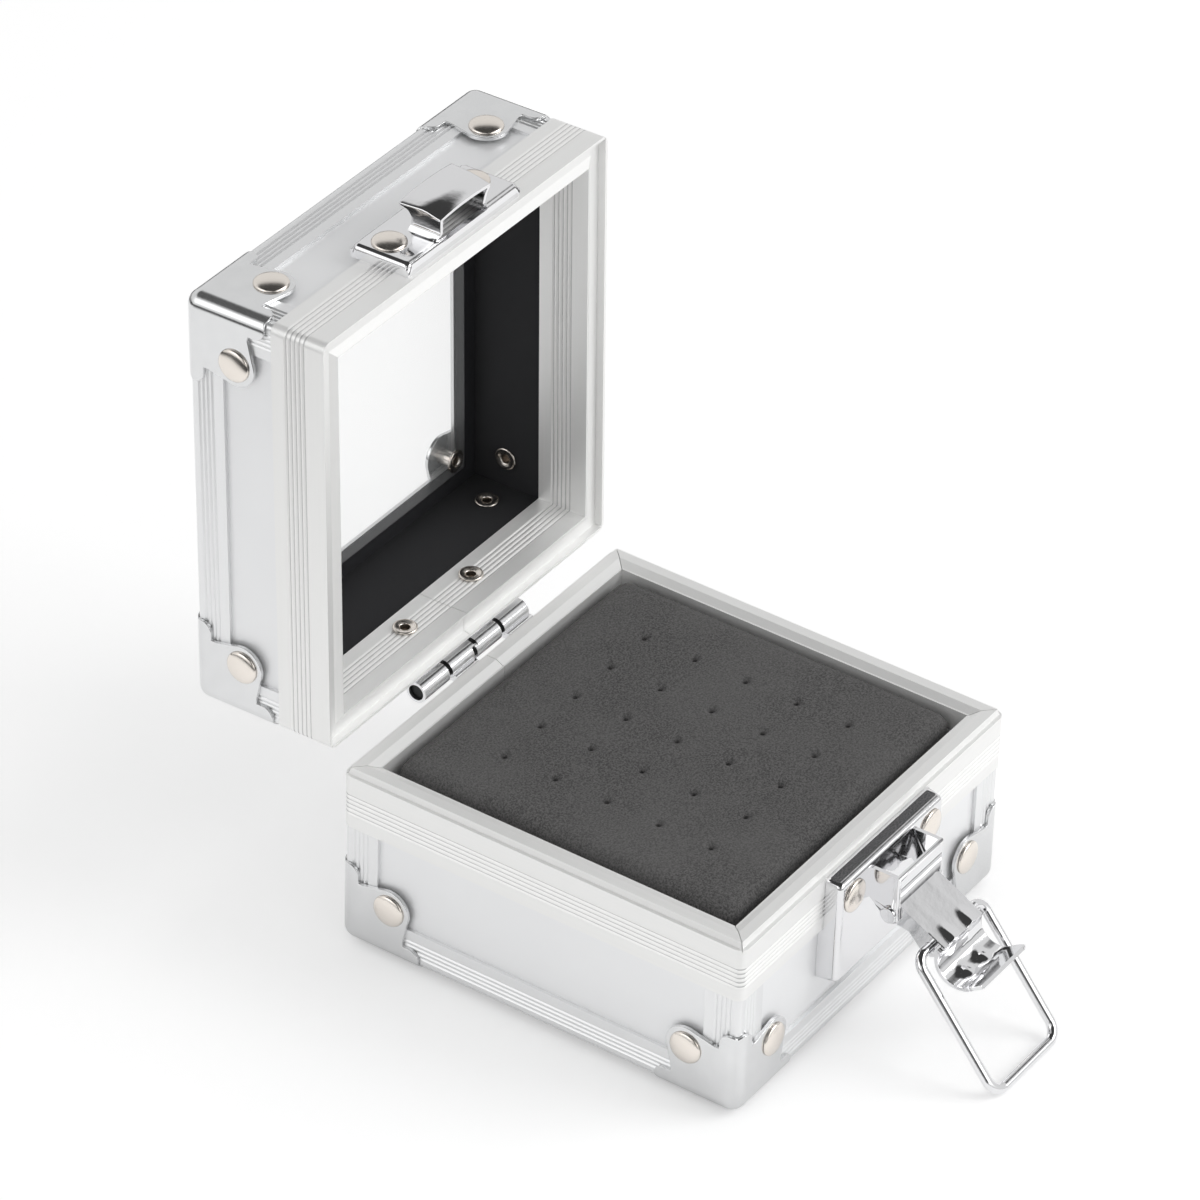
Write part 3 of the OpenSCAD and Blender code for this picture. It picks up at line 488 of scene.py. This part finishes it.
def spin_outline(bm, outline):
    """Turns an outline of (radius, height) points into a closed round solid about Z."""
    verts = [bm.verts.new((r, 0, h)) for r, h in outline]
    edges = [bm.edges.new(pair) for pair in zip(verts, verts[1:])]
    bmesh.ops.spin(bm, geom=verts + edges, cent=(0, 0, 0), axis=(0, 0, 1), dvec=(0, 0, 0),
                   angle=math.tau, steps=ROUND_STEPS, use_merge=True, use_duplicate=False)
    bmesh.ops.remove_doubles(bm, verts=bm.verts, dist=1e-4)


def rivet(grip):
    """A domed head above z = 0, its shank, and the rolled tubular tail below."""
    outline = [(0, HEAD_H)]
    for i in range(1, CURVE_STEPS + 1):
        a = math.radians(90 * i / CURVE_STEPS)
        outline.append(((HEAD_R - 0.05) * math.sin(a),
                        HEAD_RIM_H + (HEAD_H - HEAD_RIM_H) * math.cos(a) ** DOME_POWER))
    outline += [(HEAD_R, HEAD_RIM_H * 0.55), (HEAD_R - 0.1, 0.0), (SHANK_R, 0.0), (SHANK_R, -grip + 0.3)]
    roll = TAIL_T / 2
    for i in range(CURVE_STEPS + 1):
        a = math.radians(90 - TAIL_TURN * i / CURVE_STEPS)
        outline.append((TAIL_R - roll + roll * math.cos(a), -grip - roll + roll * math.sin(a)))
    outline += [(BORE_R + 0.25, -grip - TAIL_T * 0.75), (BORE_R, -grip - TAIL_T * 0.4),
                (BORE_R, -grip + BORE_END), (0, -grip + BORE_END + 0.2)]
    bm = bmesh.new()
    spin_outline(bm, outline)
    bmesh.ops.recalc_face_normals(bm, faces=bm.faces)
    return bm


def rivet_row(node, half, places):
    """One piece holding a rivet at each (matrix, grip) place of a half."""
    whole = bmesh.new()
    for place, grip in places:
        one = rivet(grip)
        bmesh.ops.transform(one, matrix=HALVES[half] @ place, verts=one.verts)
        if (HALVES[half] @ place).determinant() < 0:
            bmesh.ops.reverse_faces(one, faces=one.faces)
        scratch = bpy.data.meshes.new("scratch")
        one.to_mesh(scratch)
        one.free()
        whole.from_mesh(scratch)
        bpy.data.meshes.remove(scratch)
    fine_piece(node, whole, half, finishes["rivet"], crease=60)


def at_wall(side, x, z, out):
    """Place of a rivet on a side of a half: x along the side, z down the half."""
    return (Matrix.Rotation(math.radians(90 * side), 4, "Z")
            @ Matrix.Translation((x, -(HALF_D if side % 2 == 0 else HALF_W) - out, z))
            @ Matrix.Rotation(math.radians(90), 4, "X"))


# Foam

HOLE_PITCH = 12.3
HOLES_A_SIDE = 5
HOLE_MOUTH_R = 1.75
PIN_HOLE = ((1.45, 0.10), (1.05, 0.34), (0.66, 0.62), (0.45, 0.95), (0.56, 1.6), (0.60, 24.0))
FOAM_STEP = HOLE_PITCH / 12
FOAM_ROUND = 3.3
FOAM_SHRINK = 0.45
FOAM_SINK = 0.16
FIRST_DROP = 6.0
SIDE_ROWS = 4
UNEVEN_DEPTH = 4
UNEVEN_SIDE = 0.8
SIDE_SHIFT = Vector((7, 3, 1))


def uneven(at, a_mm, height, shift=Vector((0, 0, 0))):
    """Smooth relief with about so many waves a millimetre, and its height."""
    return noise.noise(at * a_mm + shift) * height


def foam_pad():
    """The foam block: an uneven top with softly rolled edges and a dimpled pin hole at each place."""
    low, high = [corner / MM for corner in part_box("foam_block")]
    top = high.z - FOAM_SINK
    first = math.ceil((low.x + FOAM_ROUND) / FOAM_STEP)
    last = math.floor((high.x - FOAM_ROUND) / FOAM_STEP)
    count = last - first
    bm = bmesh.new()
    bmesh.ops.create_grid(bm, x_segments=count, y_segments=count, size=count * FOAM_STEP / 2)
    middle = (first + last) * FOAM_STEP / 2
    bmesh.ops.translate(bm, verts=bm.verts, vec=(middle, middle, top))
    outline = [e for e in bm.edges if e.is_boundary]
    places = [(i - (HOLES_A_SIDE - 1) / 2) * HOLE_PITCH for i in range(HOLES_A_SIDE)]
    for x in places:
        for y in places:
            pin_hole(bm, Vector((x, y, top)))
    roll_down(bm, outline, low, high)
    for v in bm.verts:
        at = v.co.copy()
        lift = uneven(at, a_mm=0.09, height=0.10) + uneven(at, a_mm=0.55, height=0.045)
        side = uneven(at, a_mm=0.13, height=0.12, shift=SIDE_SHIFT) + uneven(at, a_mm=0.6, height=0.05)
        if at.z > top - UNEVEN_DEPTH:
            v.co.z += lift
        for axis in (0, 1):
            if not low[axis] + UNEVEN_SIDE < at[axis] < high[axis] - UNEVEN_SIDE:
                v.co[axis] += side
    bmesh.ops.recalc_face_normals(bm, faces=bm.faces)
    pad = add_piece("foam_pad", bm, "base", finishes["foam"], stands_for=("foam_block",),
                    crease=80, soft=True)


def pin_hole(bm, at):
    """Opens a round dimpled hole at a crossing of the foam's grid."""
    crossing = min(bm.verts, key=lambda v: (v.co - at).length)
    bmesh.ops.delete(bm, geom=[crossing], context="VERTS")
    ring = [v for v in bm.verts if (v.co - at).length < FOAM_STEP * 1.5]
    for v in ring:
        v.co = at + (v.co - at).normalized() * HOLE_MOUTH_R
    edges = [e for e in bm.edges if e.is_boundary and all(v in ring for v in e.verts)]
    for radius, depth in PIN_HOLE:
        made = bmesh.ops.extrude_edge_only(bm, edges=edges)["geom"]
        edges = [g for g in made if isinstance(g, bmesh.types.BMEdge)]
        for v in [g for g in made if isinstance(g, bmesh.types.BMVert)]:
            away = v.co - at
            away.z = 0
            v.co = at + away.normalized() * radius - Vector((0, 0, depth))
    bmesh.ops.contextual_create(bm, geom=edges)


def roll_down(bm, edges, low, high):
    """Carries the foam's outline over its rounded edge and down the sides to a flat underside."""
    edge_top = edges[0].verts[0].co.z
    across = [v.co.x for e in edges for v in e.verts]
    first, last = min(across), max(across)
    quarter = [(FOAM_ROUND * math.sin(a), FOAM_ROUND * (1 - math.cos(a)))
               for a in steps(math.pi / 8, math.pi / 2, 3)]
    sides = [(FOAM_ROUND, drop) for drop in steps(FIRST_DROP, edge_top - low.z, SIDE_ROWS)]

    def set_out(verts, out, drop):
        for v in verts:
            for axis in (0, 1):
                if v.co[axis] <= first + 1e-3:
                    v.co[axis] = first + (low[axis] + FOAM_SHRINK - first) * out / FOAM_ROUND
                elif v.co[axis] >= last - 1e-3:
                    v.co[axis] = last + (high[axis] - FOAM_SHRINK - last) * out / FOAM_ROUND
            v.co.z = edge_top - drop

    for out, drop in quarter + sides:
        made = bmesh.ops.extrude_edge_only(bm, edges=edges)["geom"]
        edges = [g for g in made if isinstance(g, bmesh.types.BMEdge)]
        set_out([g for g in made if isinstance(g, bmesh.types.BMVert)], out, drop)
    count = round((last - first) / FOAM_STEP)
    middle = (first + last) / 2
    half_across = (last - first) / 2
    under = bmesh.ops.create_grid(bm, x_segments=count, y_segments=count, size=half_across)["verts"]
    bmesh.ops.translate(bm, verts=under, vec=(middle, middle, 0))
    set_out(under, FOAM_ROUND, edge_top - low.z)
    bmesh.ops.remove_doubles(bm, verts=bm.verts, dist=0.01)


# Black border of the pane

PANE_INNER = LID_DEPTH - EDGE_T - PANE_T
LINING_FACE = 5.0
BORDER_FACE = 8.5
BORDER_PROUD = 0.2


def pane_border():
    """The black band round the pane, from the lining in to the clear part."""
    bm = bmesh.new()
    bmesh.ops.create_grid(bm, x_segments=1, y_segments=1, size=1)
    bmesh.ops.scale(bm, verts=bm.verts, vec=(HALF_W - LINING_FACE, HALF_D - LINING_FACE, 1))
    bmesh.ops.inset_region(bm, faces=bm.faces[:], thickness=BORDER_FACE - LINING_FACE,
                           use_even_offset=True, use_boundary=True)
    clear = min(bm.faces, key=lambda f: f.calc_center_median().length)
    bmesh.ops.delete(bm, geom=[clear], context="FACES")
    made = bmesh.ops.extrude_face_region(bm, geom=bm.faces[:])["geom"]
    outer = [g for g in made if isinstance(g, bmesh.types.BMVert)]
    bmesh.ops.translate(bm, verts=outer, vec=(0, 0, PANE_T))
    bmesh.ops.translate(bm, verts=bm.verts, vec=(0, 0, PANE_INNER - BORDER_PROUD))
    bmesh.ops.transform(bm, matrix=ON_LID, verts=bm.verts)
    bmesh.ops.recalc_face_normals(bm, faces=bm.faces)
    add_piece("pane_border", bm, "lid", finishes["border"])


# Rolled edges of the keeper's plate and the latch plate

PLATE_HALF = 18.6
PLATE_ROLL = 1.3
FIRST_ROLL_ROW = 0.1
ROLL_ROWS = 5
TOUCH = 0.01


def cut_near_rim(bm, ends, face):
    """Rows of vertices along the four sides of a pressed plate, for roll_over to bend."""
    deep = steps(FIRST_ROLL_ROW, PLATE_ROLL, ROLL_ROWS)
    cut_up(bm, (1, 0, 0), [s * (PLATE_HALF - d) for s in (-1, 1) for d in deep])
    cut_up(bm, (0, 1, 0), [face + d for d in deep])
    cut_up(bm, (0, 0, 1), [ends[0] + d for d in deep] + [ends[1] - d for d in deep])


def roll_over(v, ends, face):
    """Bends a vertex near the sides of a pressed plate round, from the plate's face to its wall."""
    end, way = (ends[0], 1) if v.co.z < sum(ends) / 2 else (ends[1], -1)
    inside = (PLATE_HALF - abs(v.co.x), v.co.y - face, way * (v.co.z - end))
    over = [max(0.0, PLATE_ROLL - d) for d in inside]
    if min(over[1], max(over[0], over[2])) <= 0 or max(over) > PLATE_ROLL + TOUCH:
        return
    pull = max(over) / math.hypot(*over)
    if over[0] > 0:
        v.co.x = math.copysign(PLATE_HALF - PLATE_ROLL + over[0] * pull, v.co.x)
    v.co.y = face + PLATE_ROLL - over[1] * pull
    if over[2] > 0:
        v.co.z = end + way * (PLATE_ROLL - over[2] * pull)


# Keeper

KEEPER_OUT = 2.9
KEEPER_ENDS = (1.0, 14.8)
KEEPER_FACE = -HALF_D - KEEPER_OUT
HOOK_HALF = 8.4
HOOK_OUT = 9.5
HOOK_TOP = 12
HOOK_FOLD_R = 0.55
HOOK_WAIST = 1.15
HOOK_FLARE = 0.45
HOOK_DOME = 0.6
HOOK_DOME_POWER = 2.2
HOOK_END_IN = 1.0
HOOK_ROWS_OUT = steps(3.3, 9.2, 9)
HOOK_ROWS_ACROSS = steps(-7.5, 7.5, 10)
HOOK_ROWS_UP = steps(1.6, 9.9, 7)


def keeper():
    """The pressed keeper: a pillowed plate and its drawn hook, waisted, domed and flared at the lip."""
    bm = in_millimetres("keeper_plate")
    bmesh.ops.transform(bm, matrix=ON_LID.inverted(), verts=bm.verts)
    join_flats(bm)

    def out(v):
        return -v.co.y - HALF_D

    def on_rim(v):
        return abs(out(v) - KEEPER_OUT) < TOUCH and (
            abs(v.co.x) > PLATE_HALF - TOUCH or v.co.z < KEEPER_ENDS[0] + TOUCH
            or v.co.z > KEEPER_ENDS[1] - TOUCH)

    hook = [e for e in sharp_edges(bm)
            if all(abs(v.co.x) > HOOK_HALF - TOUCH and out(v) > KEEPER_OUT + 0.3 for v in e.verts)
            and max(v.co.z for v in e.verts) > 2 and abs(e.verts[0].co.x) < HOOK_HALF + TOUCH]
    round_off(bm, hook, width=HOOK_FOLD_R, segments=3)
    rim = [e for e in sharp_edges(bm) if all(on_rim(v) for v in e.verts)]
    round_off(bm, [e for e in sharp_edges(bm, 40) if e not in rim], width=0.12, segments=1)
    cut_up(bm, (0, 1, 0), [-HALF_D - u for u in HOOK_ROWS_OUT])
    cut_up(bm, (1, 0, 0), HOOK_ROWS_ACROSS)
    cut_up(bm, (0, 0, 1), HOOK_ROWS_UP)
    cut_near_rim(bm, KEEPER_ENDS, KEEPER_FACE)
    for v in bm.verts:
        if out(v) < KEEPER_OUT + 0.05:
            if abs(v.co.x) > HOOK_HALF or v.co.z > HOOK_TOP:
                roll_over(v, KEEPER_ENDS, KEEPER_FACE)
            continue
        k = (out(v) - KEEPER_OUT) / (HOOK_OUT - KEEPER_OUT)
        side = v.co.x / HOOK_HALF
        v.co.x -= side * HOOK_WAIST * eased(0.0, 0.15, k) * max(0.0, 1.0 - k)
        v.co.x += side * HOOK_FLARE * eased(0.75, 1.0, k) * eased(4.0, 10.0, v.co.z)
        back = HOOK_DOME * abs(side) ** HOOK_DOME_POWER + HOOK_END_IN * eased(5.5, 0.0, v.co.z)
        v.co.y += back * eased(0.35, 1.0, k)
    bmesh.ops.transform(bm, matrix=ON_LID, verts=bm.verts)
    fine_piece("keeper_plate", bm, "lid", finishes["chrome"], crease=35)


# Latch plate, bracket and lever

LATCH_OUT = 3.8
LATCH_FACE = -HALF_D - LATCH_OUT
LATCH_TOP = RIM_Z - 0.7
LATCH_LOW = LATCH_TOP - 24.4
SHADE_STRIP_IN = 1.0
SHADE_STRIP_W = LATCH_OUT - 1.6
SHADE_STRIP_T = 0.12
SHADE_STRIP_LIFT = 0.04
BRACKET_HALF = 8.1
BRACKET_FOLD_R = 0.8


def latch_plate():
    """The pressed plate under the bracket, its face rolled over at the edges, and a dark strip of
    painted shade on its top.
    """
    bm = in_millimetres("latch_plate")
    join_flats(bm)

    def on_rim(v):
        return abs(v.co.y - LATCH_FACE) < TOUCH and (
            abs(v.co.x) > PLATE_HALF - TOUCH or v.co.z > LATCH_TOP - TOUCH or v.co.z < LATCH_LOW + TOUCH)

    rim = [e for e in sharp_edges(bm) if all(on_rim(v) for v in e.verts)]
    round_off(bm, [e for e in sharp_edges(bm, 40) if e not in rim], width=0.15, segments=1)
    cut_near_rim(bm, (LATCH_LOW, LATCH_TOP), LATCH_FACE)
    for v in bm.verts:
        roll_over(v, (LATCH_LOW, LATCH_TOP), LATCH_FACE)
    fine_piece("latch_plate", bm, "base", finishes["chrome"])
    # A thin dark strip just above the plate's top wall, which is painted shade.
    strip = bmesh.new()
    bmesh.ops.create_cube(strip, size=1)
    bmesh.ops.scale(strip, verts=strip.verts, vec=(2 * (PLATE_HALF - SHADE_STRIP_IN), SHADE_STRIP_W, SHADE_STRIP_T))
    upright = [e for e in strip.edges if abs(e.verts[0].co.z - e.verts[1].co.z) > SHADE_STRIP_T / 2]
    round_off(strip, upright, width=0.4, segments=3)
    bmesh.ops.translate(strip, verts=strip.verts,
                        vec=(0, -HALF_D - LATCH_OUT / 2 + 0.5, LATCH_TOP + SHADE_STRIP_LIFT))
    add_piece("latch_plate_painted_shade", strip, "base", finishes["shade_on_top"])


def latch_bracket():
    """The folded bracket, with the wide bends of its front corners."""
    bm = in_millimetres("latch_bracket")
    join_flats(bm)
    front = min(v.co.y for v in bm.verts)
    folds = [e for e in sharp_edges(bm)
             if all(abs(v.co.x) > BRACKET_HALF - TOUCH and v.co.y < front + TOUCH for v in e.verts)]
    round_off(bm, folds, width=BRACKET_FOLD_R, segments=4)
    round_off(bm, sharp_edges(bm, 30), width=0.14, segments=2)
    fine_piece("latch_bracket", bm, "base", finishes["chrome"])


WEB_OUT = 2.15
KNEE_DOWN = 12.1
SCOOP_R = 4.8
RIB_AT = (3.2, 0.4)
RIB_REACH = (0.85, 2.3)
RIB_H = 0.75
RIB_WAY = (0.85, -0.25)
DENT_AT = (2.9, 9.2)
DENT_REACH = (1.2, 1.5)
DENT_H = 0.55
LIP_FLARE = 0.06
SHAPED_FROM = 7
SHAPED_HALF = 9
CHEEK_FROM = 6.6
CHEEK_RUN = 2
LEVER_ROWS_ACROSS = steps(-7.8, 7.8, 26)
LEVER_ROWS_DOWN = steps(8.0, 21.5, 18)


def along_scoop(out, down):
    """Where a point lies on the lever's sheet, and the way the hollow side faces there.

    The place is a distance along the sheet from the knee, below zero on the web."""
    if down < KNEE_DOWN + 0.3 and out > WEB_OUT - 1.0:
        return down - KNEE_DOWN, (1.0, 0.0)
    x, y = out - WEB_OUT, down - KNEE_DOWN - SCOOP_R
    turn = math.atan2(x, y) % math.tau
    reach = math.hypot(x, y) or 1.0
    return SCOOP_R * (turn - math.pi), (-x / reach, -y / reach)


def swelling(height, centre, reach, x, run):
    """Height of one of two alike round swellings, left and right of the lever's middle."""
    across, along = (abs(x) - centre[0]) / reach[0], (run - centre[1]) / reach[1]
    return height * math.exp(-across ** 2) * math.exp(-along ** 2)


def latch_lever():
    """The pressed lever, with two ribs over its knee, two dents in the scoop and a flared lip."""
    bm = in_millimetres("latch_lever")
    pulled_out = (Matrix.Translation((0, PIVOT_Y, PIVOT_Z))
                  @ Matrix.Rotation(math.radians(-LEVER_OPEN), 4, "X"))
    bmesh.ops.transform(bm, matrix=pulled_out.inverted(), verts=bm.verts)
    join_flats(bm)
    round_off(bm, sharp_edges(bm, 40), width=0.16, segments=2)
    cut_up(bm, (1, 0, 0), LEVER_ROWS_ACROSS)
    cut_up(bm, (0, 0, 1), [-down for down in LEVER_ROWS_DOWN])
    for v in bm.verts:
        out, down = -v.co.y, -v.co.z
        if down < SHAPED_FROM or abs(v.co.x) > SHAPED_HALF:
            continue
        run, face = along_scoop(out, down)
        rib = swelling(RIB_H, RIB_AT, RIB_REACH, v.co.x, run)
        dent = swelling(DENT_H, DENT_AT, DENT_REACH, v.co.x, run)
        flare = LIP_FLARE * eased(11.0, 16.0, run) * v.co.x
        if not (abs(v.co.x) > CHEEK_FROM and run < CHEEK_RUN):
            v.co.y -= rib * RIB_WAY[0] + dent * face[0]
            v.co.z -= rib * RIB_WAY[1] + dent * face[1]
        v.co.x += flare
    bmesh.ops.transform(bm, matrix=pulled_out, verts=bm.verts)
    fine_piece("latch_lever", bm, "lever", finishes["chrome"], crease=50)


# The box, piece by piece

CORNER_SIGNS = [(-1, -1), (1, -1), (1, 1), (-1, 1)]
CORNER_NAMES = ["front_left", "front_right", "back_right", "back_left"]
SIDES = ["front", "right", "back", "left"]

# Finish and slot of the kinds that come often, and the width and steps of their rounded edges
BOARD = (finishes["board"], "board_silver", 0.1, 1)
EDGE = (finishes["edge"], "edge_aluminium", 0.12, 1)
CAP = (finishes["cap"], "cap_chrome", 0.22, 3)

for half, flat in (("base", "bottom"), ("lid", "top")):
    for side in SIDES:
        eased_piece(f"{half}_{side}_board", half, *BOARD)
        eased_piece(f"{flat}_edge_{side}", half, *EDGE)
    for corner in CORNER_NAMES:
        eased_piece(f"{half}_edge_{corner}", half, *EDGE)
        eased_piece(f"{half}_cap_{corner}", half, *CAP)
    eased_piece(half + "_rim", half, finishes["rim_" + half], "rim_aluminium", width=0.15, segments=2)
    eased_piece(half + "_lining", half, finishes["lining"], "lining_black", width=0.1, segments=1)
    eased_piece(f"hinge_{half}_leaf", half, finishes["chrome"], "latch_chrome", width=0.18, segments=2)

eased_piece("base_bottom_board", "base", *BOARD)
eased_piece("window_pane", "lid", finishes["window"], "window_acrylic", width=0.1, segments=1)
foam_pad()
eased_piece("hinge_pin", "base", finishes["pin"], "pin_black", width=0.3, segments=2)
pane_border()
keeper()
latch_plate()
latch_bracket()
latch_lever()
eased_piece("lever_pin", "base", finishes["chrome"], "latch_chrome", width=0.25, segments=3)
eased_piece("latch_bail", "bail", finishes["chrome"], "latch_chrome", width=0.1, segments=1)

CAP_RIVET_IN = 12.3
LEAF_T = 0.9
LEAF_RIVET_X = 11.4
LEAF_RIVET_IN = 8.0
LATCH_RIVET_X = 13.8
LATCH_RIVET_IN = 5.5
KEEPER_RIVET_IN = 9.0
WALL_GRIP = BAND_T + BOARD_T + LINING_T + CAP_PROUD


def cap_rivets(half, depth, sheet):
    """The rivets of a half's caps: two on each wall and one at each corner of its board or pane."""
    inset = CAP_RIVET_IN - CAP_PROUD
    far = depth + CAP_T
    places = []
    for side in range(4):
        run = HALF_W if side % 2 == 0 else HALF_D
        for s in (-1, 1):
            places.append((at_wall(side, s * (run - inset), far - CAP_RIVET_IN, CAP_PROUD), WALL_GRIP))
    for sx, sy in CORNER_SIGNS:
        place = Matrix.Translation((sx * (HALF_W - inset), sy * (HALF_D - inset), far))
        places.append((place, sheet + EDGE_T + CAP_T))
    rivet_row(half + "_cap_rivets", half, places)


def rivet_pair(node, half, side, x, z, out):
    """Two rivets through a half's rim and a plate that stands out from it."""
    rivet_row(node, half, [(at_wall(side, s * x, z, out), RIM_W + out) for s in (-1, 1)])


cap_rivets("base", BASE_DEPTH, BOARD_T)
cap_rivets("lid", LID_DEPTH, PANE_T)
rivet_pair("hinge_base_rivets", "base", 2, LEAF_RIVET_X, LEAF_RIVET_IN, LEAF_T)
rivet_pair("hinge_lid_rivets", "lid", 2, LEAF_RIVET_X, LEAF_RIVET_IN - RIM_GAP, LEAF_T)
rivet_pair("latch_rivets", "base", 0, LATCH_RIVET_X, LATCH_RIVET_IN, LATCH_OUT)
rivet_pair("keeper_rivets", "lid", 0, LATCH_RIVET_X, KEEPER_RIVET_IN, KEEPER_OUT)


# Setting: camera, floor, light

PHOTO = 1200
LENS_PX = 6766.2
CAMERA_AT = Vector((-0.90431, -0.57741, 0.85430))
AIM = Vector((0.6758, 0.4460, -0.5869))
ROLL = math.radians(1.935)


BEHIND = Vector((AIM.x, AIM.y, 0)).normalized()

# Floor, in metres for its size and depth, and in millimetres where its shade changes
FLOOR_HALF = 6
FLOOR_DOWN = 0.00002
FLOOR_GLOW = 0.26
FLOOR_WHITE = rgb(0.90, 0.90, 0.90)
FLOOR_DARK = rgb(0.05, 0.05, 0.05)
FAR_OFF = (450.0, 650.0)
TO_THE_FRONT = (150.0, 230.0)
UNDER_BOX = (HALF_W - 8, HALF_W + 22)

# Brightness of the sky, and the heights and directions between which it changes in mirrors
SKY_LEVEL = 0.68
WALL_LEVEL = 0.80
LAMP_LEVEL = 1.8
ROOM_LEVEL = 0.05
LAMP_SIDE = (-0.55, 0.25)
LAMP_UP = (0.10, 0.35)
OVERHEAD = (0.65, 0.76)
NEAR_CAMERA = (0.80, 0.90)

# Lamps: name, place, width and height in metres, watts
LAMPS = [("key", (0.70, -1.15, 1.00), (0.9, 0.9), 8.4),
         ("left_fill", (-1.4, -0.4, 0.8), (1.0, 0.8), 1.7)]
LAMPS_AIM = Vector((0, 0, 0.05))


def looking(direction):
    """The turn that points a camera or lamp in a direction, with its top up."""
    return direction.to_track_quat("-Z", "Y").to_matrix().to_4x4()


def camera():
    """The photo's view of the open box."""
    data = bpy.data.cameras.new("view")
    data.sensor_width = 36
    data.sensor_fit = "HORIZONTAL"
    data.lens = LENS_PX / PHOTO * data.sensor_width
    data.clip_end = 20
    eye = new_object("view", data)
    eye.matrix_world = Matrix.Translation(CAMERA_AT) @ looking(AIM) @ Matrix.Rotation(ROLL, 4, "Z")
    bpy.context.scene.camera = eye


def area_light(name, at, size, watts):
    """A white rectangular lamp that shines on the box."""
    data = bpy.data.lights.new(name, "AREA")
    data.shape = "RECTANGLE"
    data.size, data.size_y = size
    data.energy = watts
    lamp = new_object(name, data)
    lamp.matrix_world = Matrix.Translation(at) @ looking(LAMPS_AIM - Vector(at))


def light_rays(book):
    """The kinds of ray that light or see a surface, by the name of each."""
    path = book.node("ShaderNodeLightPath")
    return {s.name: Wire(book, s) for s in path.socket.node.outputs}


def white_floor():
    """Matt white that glows a little where it is seen.

    Mirrors see it dark far off and towards the camera, and without its glow under the box."""
    material, book = new_material("white_floor")
    rays = light_rays(book)
    glossy = rays["Is Glossy Ray"]
    seen = book.maths("MAXIMUM", rays["Is Camera Ray"],
                      book.maths("MAXIMUM", glossy, rays["Is Transmission Ray"]))
    x, y, _ = book.parts(book.place())
    reach = book.node("ShaderNodeVectorMath", {"operation": "LENGTH"},
                      {0: book.vector(x, y, 0.0)}, out="Value")
    to_front = (x * -BEHIND.x + y * -BEHIND.y).rise(*TO_THE_FRONT)
    dark = book.maths("MAXIMUM", reach.rise(*FAR_OFF), to_front) * glossy
    beside = book.maths("MAXIMUM", book.maths("ABSOLUTE", x), book.maths("ABSOLUTE", y)).rise(*UNDER_BOX)
    seen = seen * (1.0 - glossy * (1.0 - beside))
    book.show(book.node("ShaderNodeBsdfPrincipled", {}, {
        "Base Color": book.mix(dark, FLOOR_WHITE, FLOOR_DARK), "Roughness": 0.9,
        "Emission Color": rgb(1, 1, 1), "Emission Strength": FLOOR_GLOW * seen * (1.0 - dark),
        "Specular IOR Level": 0.0}, out="BSDF"))
    return material


def floor():
    """A wide plane, a hair below the box."""
    bm = bmesh.new()
    bmesh.ops.create_grid(bm, x_segments=1, y_segments=1, size=FLOOR_HALF)
    bmesh.ops.translate(bm, verts=bm.verts, vec=(0, 0, -FLOOR_DOWN))
    mesh = bpy.data.meshes.new("floor")
    bm.to_mesh(mesh)
    bm.free()
    mesh.materials.append(white_floor())
    plane = new_object("floor", mesh)


def sky():
    """White for the camera and even light for matt surfaces.

    Mirrors see a room: walls that are brighter high up on the camera's side, and dark overhead and
    round the camera."""
    world = bpy.data.worlds.new("studio")
    bpy.context.scene.world = world
    world.use_nodes = True
    book = Book(world.node_tree)
    x, y, z = book.parts(book.node("ShaderNodeTexCoord", out="Generated"))
    camera_side = 1.0 - (x * BEHIND.x + y * BEHIND.y).rise(*LAMP_SIDE)
    walls = WALL_LEVEL + (LAMP_LEVEL - WALL_LEVEL) * camera_side * z.rise(*LAMP_UP)
    to_camera = (x * -AIM.x + y * -AIM.y + z * -AIM.z).rise(*NEAR_CAMERA)
    dark = book.maths("MAXIMUM", z.rise(*OVERHEAD), to_camera)
    mirrored = walls * (1.0 - dark) + ROOM_LEVEL * dark
    rays = light_rays(book)
    level = rays["Is Glossy Ray"] * mirrored + (1.0 - rays["Is Glossy Ray"]) * SKY_LEVEL
    level = level * (1.0 - rays["Is Camera Ray"]) + rays["Is Camera Ray"]
    light = book.node("ShaderNodeBackground", {}, {"Color": rgb(1, 1, 1), "Strength": level})
    book.show(light, "World")


camera()
floor()
sky()
for lamp in LAMPS:
    area_light(*lamp)

scene = bpy.context.scene
scene.view_settings.view_transform = "Standard"
